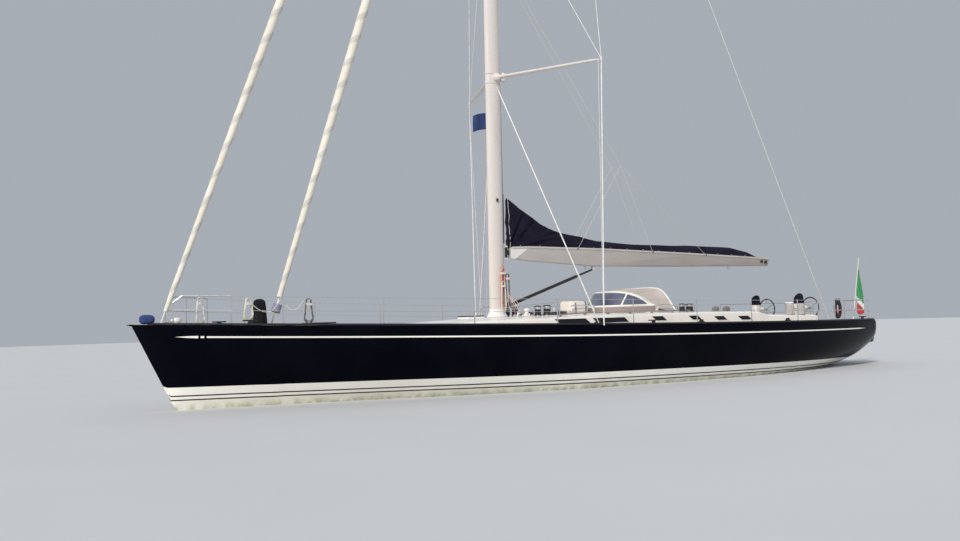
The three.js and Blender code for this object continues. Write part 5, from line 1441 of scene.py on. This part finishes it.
def mast_rails():
    shape = Shape()
    for side in (1, -1):
        route = [(x, side * MAST_RAIL_Y, roof_z(x, MAST_RAIL_Y) - 0.01 + height) for x, height in MAST_RAIL]
        shape.tube(route, 0.014, 10, 0)
        x, y, half = VENT["x"], side * VENT["y"], VENT["half"]
        foot = roof_z(x, y) - 0.01
        shape.block((x - half, y - half, foot), (x + half, y + half, foot + VENT["height"] * 0.5), 1, 0.03)
        shape.turned([(0.045, 0.0), (0.045, 0.05), (0.07, 0.08), (0.075, 0.11), (0.06, 0.13), (0.0, 0.135)],
                     (x, y, foot + VENT["height"] * 0.45), mark=1)
    shape.make("mast_rails", ROOT, [STEEL, GELCOAT], "stainless")


# Vent and rolled-up bag on the foredeck
DOME = {"x": 11.02, "radius": 0.12, "height": 0.17}
# shares of the radius and of the height
DOME_ROWS = [(1.0, 0.0), (1.0, 0.12), (0.72, 0.2), (0.72, 0.42), (1.0, 0.48), (1.04, 0.6), (0.9, 0.82),
             (0.5, 0.96), (0.0, 1.0)]
BAG = {"x": 11.66, "half_x": 0.17, "half_y": 0.1, "half_z": 0.105}


def dome_vent():
    rows = [(r * DOME["radius"], h * DOME["height"]) for r, h in DOME_ROWS]
    vent = Shape().turned(rows, (DOME["x"], 0, deck_z(DOME["x"], 0) - 0.01), sides=36)
    vent.make("dome_vent", ROOT, [GELCOAT], "deck_white")


def foredeck_bag():
    low = deck_z(BAG["x"], 0) + 0.004
    rings = []
    for k in range(25):
        t = -1 + 2 * k / 24
        swell = max((1 - abs(t) ** 3.5) ** 0.5, 0.03)
        ring = []
        for angle in angles(32):
            c, s = math.cos(angle), math.sin(angle)
            fold = 1 + 0.05 * noise.noise((3 * t, 2 * c, 2 * s))
            up = swell * fold * squared(s, 0.7)
            ring.append((BAG["x"] + BAG["half_x"] * t, BAG["half_y"] * swell * fold * c,
                         low + BAG["half_z"] * (1 + max(up, -0.96))))
        rings.append(ring)
    bag = Shape().loft(rings).make("foredeck_bag", ROOT, [BLUE_CANVAS], "navy_canvas", 60)


# Ropes that are put away in hanks
ROPE_DIAMETER = 0.014
HANK_PITCH = 1.06 * ROPE_DIAMETER
# name, finish, x, y, z of the top's middle, half width at the top, half width low down, height, turns
MAST_HANKS = [("halyard_tail_red", RED_ROPE, 2.36, 0.15, 3.12, 0.045, 0.06, 1.02, 5),
              ("halyard_tail_white", WHITE_ROPE, 2.40, 0.235, 2.78, 0.045, 0.07, 0.80, 3),
              ("halyard_tail_dark", DARK_ROPE, 2.22, 0.16, 2.98, 0.045, 0.06, 0.92, 4)]
# name, finish, x, half width low down, height, turns
RAIL_HANKS = [("mooring_line_forward", WHITE_ROPE, 10.62, 0.09, 0.58, 5),
              ("mooring_line_middle", WHITE_ROPE, 9.66, 0.1, 0.5, 6),
              ("mooring_line_aft", DARK_ROPE, 8.42, 0.1, 0.55, 5)]

# Slack lines between the hanks and the rail. name, x and z at the start, at the lowest point and at the end
SWAGS = [("slack_line_forward", 9.60, 2.26, 9.36, 2.09, 9.00, 2.45),
         ("slack_line_aft", 8.98, 2.34, 8.76, 2.12, 8.56, 2.33)]


def limp_cord(name, finish, path):
    line = Shape().tube(path, ROPE_DIAMETER / 2, 8).make(name, ROOT, [finish], "sailcloth")


def swag(name, x0, z0, x1, z1, x2, z2):
    path = []
    for i in range(25):
        t = i / 24
        lift = ((z0 - z1) * max(1 - 2 * t, 0) ** 2) + ((z2 - z1) * max(2 * t - 1, 0) ** 2)
        x = x0 + (x2 - x0) * t
        path.append((x, deck_half_beam(x) - 0.15, z1 + lift))
    limp_cord(name, WHITE_ROPE, path)


def hank_turn(high_half, low_half, straight):
    """One loop of a hank, from the middle of its top round to it again: x and depth, a list of points."""
    def arc(half, first, last, depth):
        turns = [math.radians(first + 15 * i) for i in range((last - first) // 15 + 1)]
        return [(half * math.sin(a), depth - half * math.cos(a)) for a in turns]

    low = arc(low_half, 90, 270, high_half + straight)
    return arc(high_half, 0, 90, high_half) + low + arc(high_half, 270, 345, high_half)


def hank(name, finish, place, high_half, low_half, height, turns):
    """Hangs a coil of rope from its place, and returns the corners of the tie round its neck."""
    x, y, z = place
    path = []
    for turn in range(turns):
        straight = (height - high_half - low_half) * (1 - 0.07 * (turn % 3))
        loop = hank_turn(high_half, low_half, straight)
        for i, (along, depth) in enumerate(loop):
            path.append((x + along, y + HANK_PITCH * (turn + i / len(loop)), z - depth))
    limp_cord(name, finish, path)
    wide = high_half + ROPE_DIAMETER
    band = z - high_half - 0.05
    return ((x - wide, y - ROPE_DIAMETER, band - 0.06),
            (x + wide, y + HANK_PITCH * turns + ROPE_DIAMETER, band))


def rope_hanks():
    ties = Shape()
    for name, finish, x, y, z, high_half, low_half, height, turns in MAST_HANKS:
        ties.block(*hank(name, finish, (x, y, z), high_half, low_half, height, turns), 0, 0.008)
    for name, finish, x, low_half, height, turns in RAIL_HANKS:
        y = deck_half_beam(x) - 0.19 - 1.06 * ROPE_DIAMETER * turns
        z = sheer_z(x) + 0.6
        low, high = hank(name, finish, (x, y, z), 0.05, low_half, height, turns)
        ties.block(low, high, 0, 0.008)
        hook = [(x, high[1] - 0.01, z - 0.09), (x, high[1] + 0.04, z), (x, high[1] + 0.07, z + 0.04)]
        ties.tube(hook, 0.006, 8, 0)
    ties.make("rope_ties", ROOT, [WHITE_ROPE], "sailcloth")
    for row in SWAGS:
        swag(*row)


# Flag on its halyard under the lowest starboard spreader
COURTESY_FLAG = {"x": 2.13, "y": -0.68, "top": 7.43, "low": 6.98, "length": 0.42}


def courtesy_flag():
    """A plain dark cloth that the wind carries forward, with its halyard to the roof."""
    spot = COURTESY_FLAG
    rings = []
    for r in range(25):
        t = r / 24
        z = spot["top"] + (spot["low"] - spot["top"]) * t
        row = []
        for c in range(31):
            s = c / 30
            wave = 0.045 * s * math.sin(2 * math.pi * (1.6 * s + 0.2 * t))
            row.append((spot["x"] + 0.006 + spot["length"] * s, spot["y"] + wave, z - 0.10 * s * s))
        rings.append(row)
    flag = Shape().loft(rings, 0, closed=False, capped=False).make("courtesy_flag_cloth", ROOT, [BLUE_CANVAS],
                                                                     "flag_cloth", 80)
    cloth = thicken(flag, 0.0016, 0.0)
    halyard = Shape()
    halyard.tube([(spot["x"] - 0.004, spot["y"], 8.19), (spot["x"] - 0.004, spot["y"], spot["low"]),
                  (2.2, -0.86, roof_z(2.2, 0.86))], 0.003, 6)
    line = halyard.make("flag_halyard", ROOT, [WHITE_ROPE], "rigging_rod")


# Helm stations
PEDESTAL = {"x": -8.55, "y": 0.88, "half_x": 0.12, "half_y": 0.12, "top": 2.05}
HELM_COVER = {"half_x": 0.125, "half_y": 0.13, "height": 0.34, "slant": 0.36}
# radius share of the pedestal's section, and height
PEDESTAL_ROWS = [(1.25, 1.003), (1.25, 1.04), (1.08, 1.09), (0.90, 1.3), (0.86, 1.6), (0.92, 1.85),
                 (1.04, 1.97), (1.04, 2.045)]
WHEEL = {"x": -9.1, "z": 1.88, "radius": 0.34, "rim": 0.02}
WHEEL_SPOKES = 6
SHAFT_HOUSING = 0.24  # length of the pod behind a pedestal that carries the wheel's shaft


def helm_cover(label, side):
    shape = Shape()
    x0, y0, low = PEDESTAL["x"], side * PEDESTAL["y"], PEDESTAL["top"] - 0.03
    rings = []
    for k in range(22):
        t = k / 21
        swell = max((1 - t ** 5) ** 0.5, 0.02)
        flare = 1.0 + 0.08 * (1 - t) ** 3
        ring = []
        for angle in angles(48):
            c, s = math.cos(angle), math.sin(angle)
            wave = 0.04 * (1 - t) * math.sin(9 * angle + 1.3 * side)
            fold = 1 + wave + 0.04 * noise.noise((2 * c, 2 * s, 3 * t + side))
            ahead = swell * squared(c, 0.6)
            beside = swell * squared(s, 0.6)
            drop = 1 - HELM_COVER["slant"] * (0.5 + 0.5 * ahead)
            ring.append((x0 + HELM_COVER["half_x"] * ahead * flare * fold,
                         y0 + HELM_COVER["half_y"] * beside * flare * fold,
                         low + (HELM_COVER["height"] + 0.03) * t * drop))
        rings.append(ring)
    shape.loft(rings, 0, capped=False)
    shape.add(rings[-1], [tuple(range(48))])
    hood = shape.make(f"helm_hood_{label}", ROOT, [NAVY_CANVAS], "navy_canvas", 70, welded=True)
    cloth = thicken(hood, 0.003)
    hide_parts(f"helm_cover_{label}")


def helm_pedestal(label, side):
    shape = Shape()
    x0, y0 = PEDESTAL["x"], side * PEDESTAL["y"]
    rings = []
    for grow, z in PEDESTAL_ROWS:
        rings.append([(x0 + PEDESTAL["half_x"] * grow * squared(math.cos(angle), 0.5),
                       y0 + PEDESTAL["half_y"] * grow * squared(math.sin(angle), 0.5), z)
                      for angle in angles(40)])
    shape.loft(rings, 0)
    back = x0 - PEDESTAL["half_x"]
    shape.turned([(0.085, -0.06), (0.085, 0.02), (0.075, 0.10), (0.068, SHAFT_HOUSING - 0.02),
                  (0.060, SHAFT_HOUSING)], (back, y0, WHEEL["z"]), (-1, 0, 0), mark=0)
    shape.tube([(x0 + 0.13, y0 - 0.07, 1.82), (x0 + 0.17, y0 - 0.07, 1.86), (x0 + 0.17, y0 + 0.07, 1.86),
                (x0 + 0.13, y0 + 0.07, 1.82)], 0.012, 8, 2)
    piece = shape.make(f"helm_column_{label}", ROOT, [GELCOAT, BLACK, STEEL], "deck_white")
    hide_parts(f"helm_pedestal_{label}")


def wheel(label, side):
    shape = Shape()
    centre = Vector((WHEEL["x"], side * PEDESTAL["y"], WHEEL["z"]))
    rim = WHEEL["rim"]
    reach = WHEEL["radius"] - rim
    turned = []
    for angle in angles(72):
        point = centre + Vector((0, reach * math.sin(angle), reach * math.cos(angle)))
        outwards = (point - centre).normalized()
        turned.append([point + outwards * (rim * math.cos(a)) + Vector((1, 0, 0)) * (rim * math.sin(a))
                       for a in angles(12)])
    turned.append(turned[0])
    shape.loft(turned, 0, capped=False)
    for angle in angles(WHEEL_SPOKES):
        arm = Vector((0, math.sin(angle), math.cos(angle)))
        spoke = [centre + Vector((0.02, 0, 0)) + arm * 0.03,
                 centre + arm * (reach * 0.55) + Vector((0.008, 0, 0)), centre + arm * (reach - 0.008)]
        shape.tube(spoke, [0.014, 0.011, 0.010], 10, 1)
    shaft = PEDESTAL["x"] - PEDESTAL["half_x"] - 0.006 - WHEEL["x"]
    shape.turned([(0.0, -0.035), (0.03, -0.03), (0.055, 0.0), (0.05, 0.05), (0.03, 0.11), (0.03, shaft),
                  (0.0, shaft)], centre, (1, 0, 0), mark=1)
    piece = shape.make(f"helm_wheel_{label}", f"wheel_{label}", [BLACK, STEEL], "stainless", welded=True)
    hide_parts(f"wheel_{label}")


# Lifebuoy in its cover, and the ensign on its staff
LIFEBUOY = {"half_x": 0.18, "low": 1.5, "top": 2.13}
# first and last point of the ring's path, material: black ends and foot, red between them
LIFEBUOY_PARTS = [(0, 7, 1), (6, 15, 0), (14, 27, 1), (26, 35, 0), (34, 41, 1)]


def lifebuoy():
    box_low, box_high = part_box("lifebuoy")
    centre = [(a + b) / 2 for a, b in zip(box_low, box_high)]
    shape = Shape()
    wide, height = LIFEBUOY["half_x"] * 0.92, (LIFEBUOY["top"] - LIFEBUOY["low"]) / 2
    path, radii = [], []
    for k in range(41):
        angle = math.radians(-232 + 284 * k / 40)
        path.append((centre[0] + (wide - 0.055) * math.cos(angle) * 1.05, centre[1],
                     centre[2] + (height - 0.06) * math.sin(angle)))
        radii.append(0.052 * (1 - 0.25 * abs(2 * k / 40 - 1) ** 6))
    for first, last, mark in LIFEBUOY_PARTS:
        shape.tube(path[first:last], radii[first:last], 18, mark)
    x, y = centre[0], centre[1]
    low, top = centre[2] - height * 0.55, LIFEBUOY["top"]
    shape.block((x - 0.10, y - 0.05, top - 0.20), (x + 0.10, y + 0.05, top - 0.01), 1, 0.03)
    strap = [(x + 0.09, y + 0.055, top - 0.06), (x, y + 0.062, low + 0.2), (x - 0.08, y + 0.055, low)]
    shape.tube(strap, 0.012, 8, 1)
    piece = shape.make("horseshoe_buoy", ROOT, [RED_CLOTH, BLACK], "red_cloth")
    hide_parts("lifebuoy")


STAFF = {"x": -10.96, "y": 1.08, "top_x": -11.385, "top_z": 3.42}
ENSIGN = {"top": 3.08, "low": 1.65, "hoist_share": 0.45}  # below the hoist's share the cloth hangs free
FINIAL = [(0.0, 0.0), (0.022, 0.005), (0.026, 0.022), (0.018, 0.04), (0.0, 0.046)]  # radius, height
STAFF_SOCKET = [(0.03, 0.0), (0.032, 0.0), (0.028, 0.10), (0.018, 0.11)]


def ensign():
    foot_z = deck_z(STAFF["x"], STAFF["y"])

    def staff_x(z):
        return STAFF["x"] + (STAFF["top_x"] - STAFF["x"]) * (z - foot_z) / (STAFF["top_z"] - foot_z)

    shape = Shape()
    rows, columns = 60, 72
    rings = []
    for r in range(rows + 1):
        t = r / rows
        z = ENSIGN["top"] + (ENSIGN["low"] - ENSIGN["top"]) * t
        held_z = ENSIGN["top"] + (ENSIGN["low"] - ENSIGN["top"]) * min(t, ENSIGN["hoist_share"])
        front = staff_x(held_z) - 0.02
        width = 0.06 + 0.27 * smooth_step(0.0, 0.6, t)
        row = []
        for c in range(columns + 1):
            s = c / columns
            depth = (0.012 + 0.030 * smooth_step(0.0, 0.4, t)) * (1 - 0.35 * t)
            pleat = math.sin(2 * math.pi * (4.5 * s + 0.12 * math.sin(5 * t)))
            drift = 0.02 * noise.noise((3 * s, 2.5 * t, 4.0))
            y = STAFF["y"] + depth * pleat * (0.25 + 0.75 * s) + drift
            row.append((front - width * s + drift * s, y, z - 0.05 * math.sin(math.pi * s) * t))
        rings.append(row)
    shape.loft(rings, 0, closed=False, capped=False)
    cloth = thicken(shape.make("ensign_cloth", ROOT, [FLAG], "flag_cloth", 80), 0.0016, 0.0)
    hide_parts("ensign")
    staff = Shape()
    staff.turned(FINIAL, (STAFF["top_x"], STAFF["y"], STAFF["top_z"] - 0.01), mark=0)
    staff.turned(STAFF_SOCKET, (STAFF["x"] - 0.004, STAFF["y"], foot_z), (-0.21, 0, 1), mark=1)
    staff.make("staff_fittings", ROOT, [SPAR, STEEL], "spar_paint")


# Floor, lights and camera
FLOOR_REACH = 160.0


def stage_floor():
    reach = FLOOR_REACH
    shape = Shape().quad([(-reach, -reach, 0), (reach, -reach, 0), (reach, reach, 0), (-reach, reach, 0)])
    mesh = bpy.data.meshes.new("floor")
    mesh.from_pydata(shape.points, [], shape.faces)
    mesh.materials.append(floor_finish())
    floor = bpy.data.objects.new("floor", mesh)
    bpy.context.scene.collection.objects.link(floor)


# name, strength, angle in degrees, direction, colour
LAMPS = [("key", 2.7, 10.0, (-0.66, -0.46, -0.54), (1.0, 0.94, 0.87)),
         ("fill", 0.2, 40.0, (0.8, 0.5, -0.5), (0.9, 0.95, 1.0))]


def studio_light():
    world = bpy.data.worlds.new("studio")
    bpy.context.scene.world = world
    world.use_nodes = True
    background = world.node_tree.nodes["Background"]
    background.inputs["Color"].default_value = (0.78, 0.84, 0.92, 1.0)
    background.inputs["Strength"].default_value = 0.5
    for name, strength, angle, direction, color in LAMPS:
        light = bpy.data.lights.new(name, "SUN")
        light.energy = strength
        light.angle = math.radians(angle)
        light.color = color
        lamp = bpy.data.objects.new(name, light)
        lamp.rotation_euler = Vector(direction).to_track_quat("-Z", "Y").to_euler()
        bpy.context.scene.collection.objects.link(lamp)


def picture_tones():
    """Plain contrast, so that whites stay white and the topsides stay nearly black."""
    view = bpy.context.scene.view_settings
    view.view_transform = "Standard"
    view.look = "None"
    view.exposure = 0.0


def camera():
    turned = Vector((math.sin(CAMERA_YAW), math.cos(CAMERA_YAW), 0.0))
    forward = Vector((-turned.x * math.cos(CAMERA_PITCH), -turned.y * math.cos(CAMERA_PITCH),
                      math.sin(CAMERA_PITCH)))
    right = Vector((-turned.y, turned.x, 0.0))
    up = right.cross(forward)
    tilted_right = right * math.cos(CAMERA_ROLL) + up * math.sin(CAMERA_ROLL)
    tilted_up = up * math.cos(CAMERA_ROLL) - right * math.sin(CAMERA_ROLL)
    lens = bpy.data.cameras.new("camera")
    lens.sensor_width = SENSOR_MM
    lens.lens = FOCAL_PIXELS / IMAGE_WIDTH * SENSOR_MM
    lens.clip_end = 1000.0
    seen_from = bpy.data.objects.new("camera", lens)
    turn = Matrix((tilted_right, tilted_up, -forward)).transposed().to_4x4()
    seen_from.matrix_world = Matrix.Translation(CAMERA_PLACE) @ turn
    bpy.context.scene.collection.objects.link(seen_from)
    bpy.context.scene.camera = seen_from


# Frame nodes whose shape stays, with their finish
NODE_FINISHES = {
    "hull": GELCOAT, "deck": TEAK, "coachroof": GELCOAT, "companion_hatch": GLASS,
    "companion_door_port": GELCOAT, "companion_door_starboard": GELCOAT, "companion_steps": TEAK,
    "engine_block": BLACK, "fore_hatch_lid": GLASS, "roof_hatch_lid": GLASS, "keel_bulb": KEEL_PAINT,
    "keel_fin": KEEL_PAINT, "rudder": BOTTOM, "propeller": BRONZE, "propeller_shaft": STEEL,
    "shaft_bracket": BRONZE, "mast": SPAR, "boom": BOOM_SHADED_GREY, "cap_shroud_port": ROD,
    "cap_shroud_starboard": ROD, "lower_shroud_port": ROD, "lower_shroud_starboard": ROD,
    "backstay": ROD, "inner_furler_drum": LILAC_CANVAS, "gooseneck_toggle": BLACK, "vang_toggle": BLACK,
    "vang_tube": BLACK, "vang_rod": BLACK, "pulpit": STEEL, "pushpit_port": STEEL, "pushpit_starboard": STEEL,
    "lifelines_port": STEEL, "lifelines_starboard": STEEL, "toe_rail_port": RAIL_NAVY,
    "toe_rail_starboard": RAIL_NAVY, "ensign_staff": SPAR,
}

camera()
picture_tones()
stage_floor()
studio_light()
for node_name, node_finish in NODE_FINISHES.items():
    finish_node(node_name, node_finish)
for spreader_number, row in enumerate(SPREADERS, 1):
    for side_label, side_sign in SIDES:
        spreader(side_label, side_sign, spreader_number, *row)
shroud_covers()
hull_skin()
coachroof_windows()
coachroof_handrails()
cockpit_panels()
mast_fittings()
halyards()
rig_lines()
lazy_jacks()
for sail in HEADSAILS:
    furled_sail(*sail)
boom_dressing()
sail_cover()
windscreen()
screen_base_trim()
sprayhood()
life_raft()
winches()
covered_winches()
deck_fairleads()
mast_rails()
dome_vent()
foredeck_bag()
rope_hanks()
courtesy_flag()
for side_label, side_sign in SIDES:
    helm_pedestal(side_label, side_sign)
    helm_cover(side_label, side_sign)
    wheel(side_label, side_sign)
lifebuoy()
ensign()
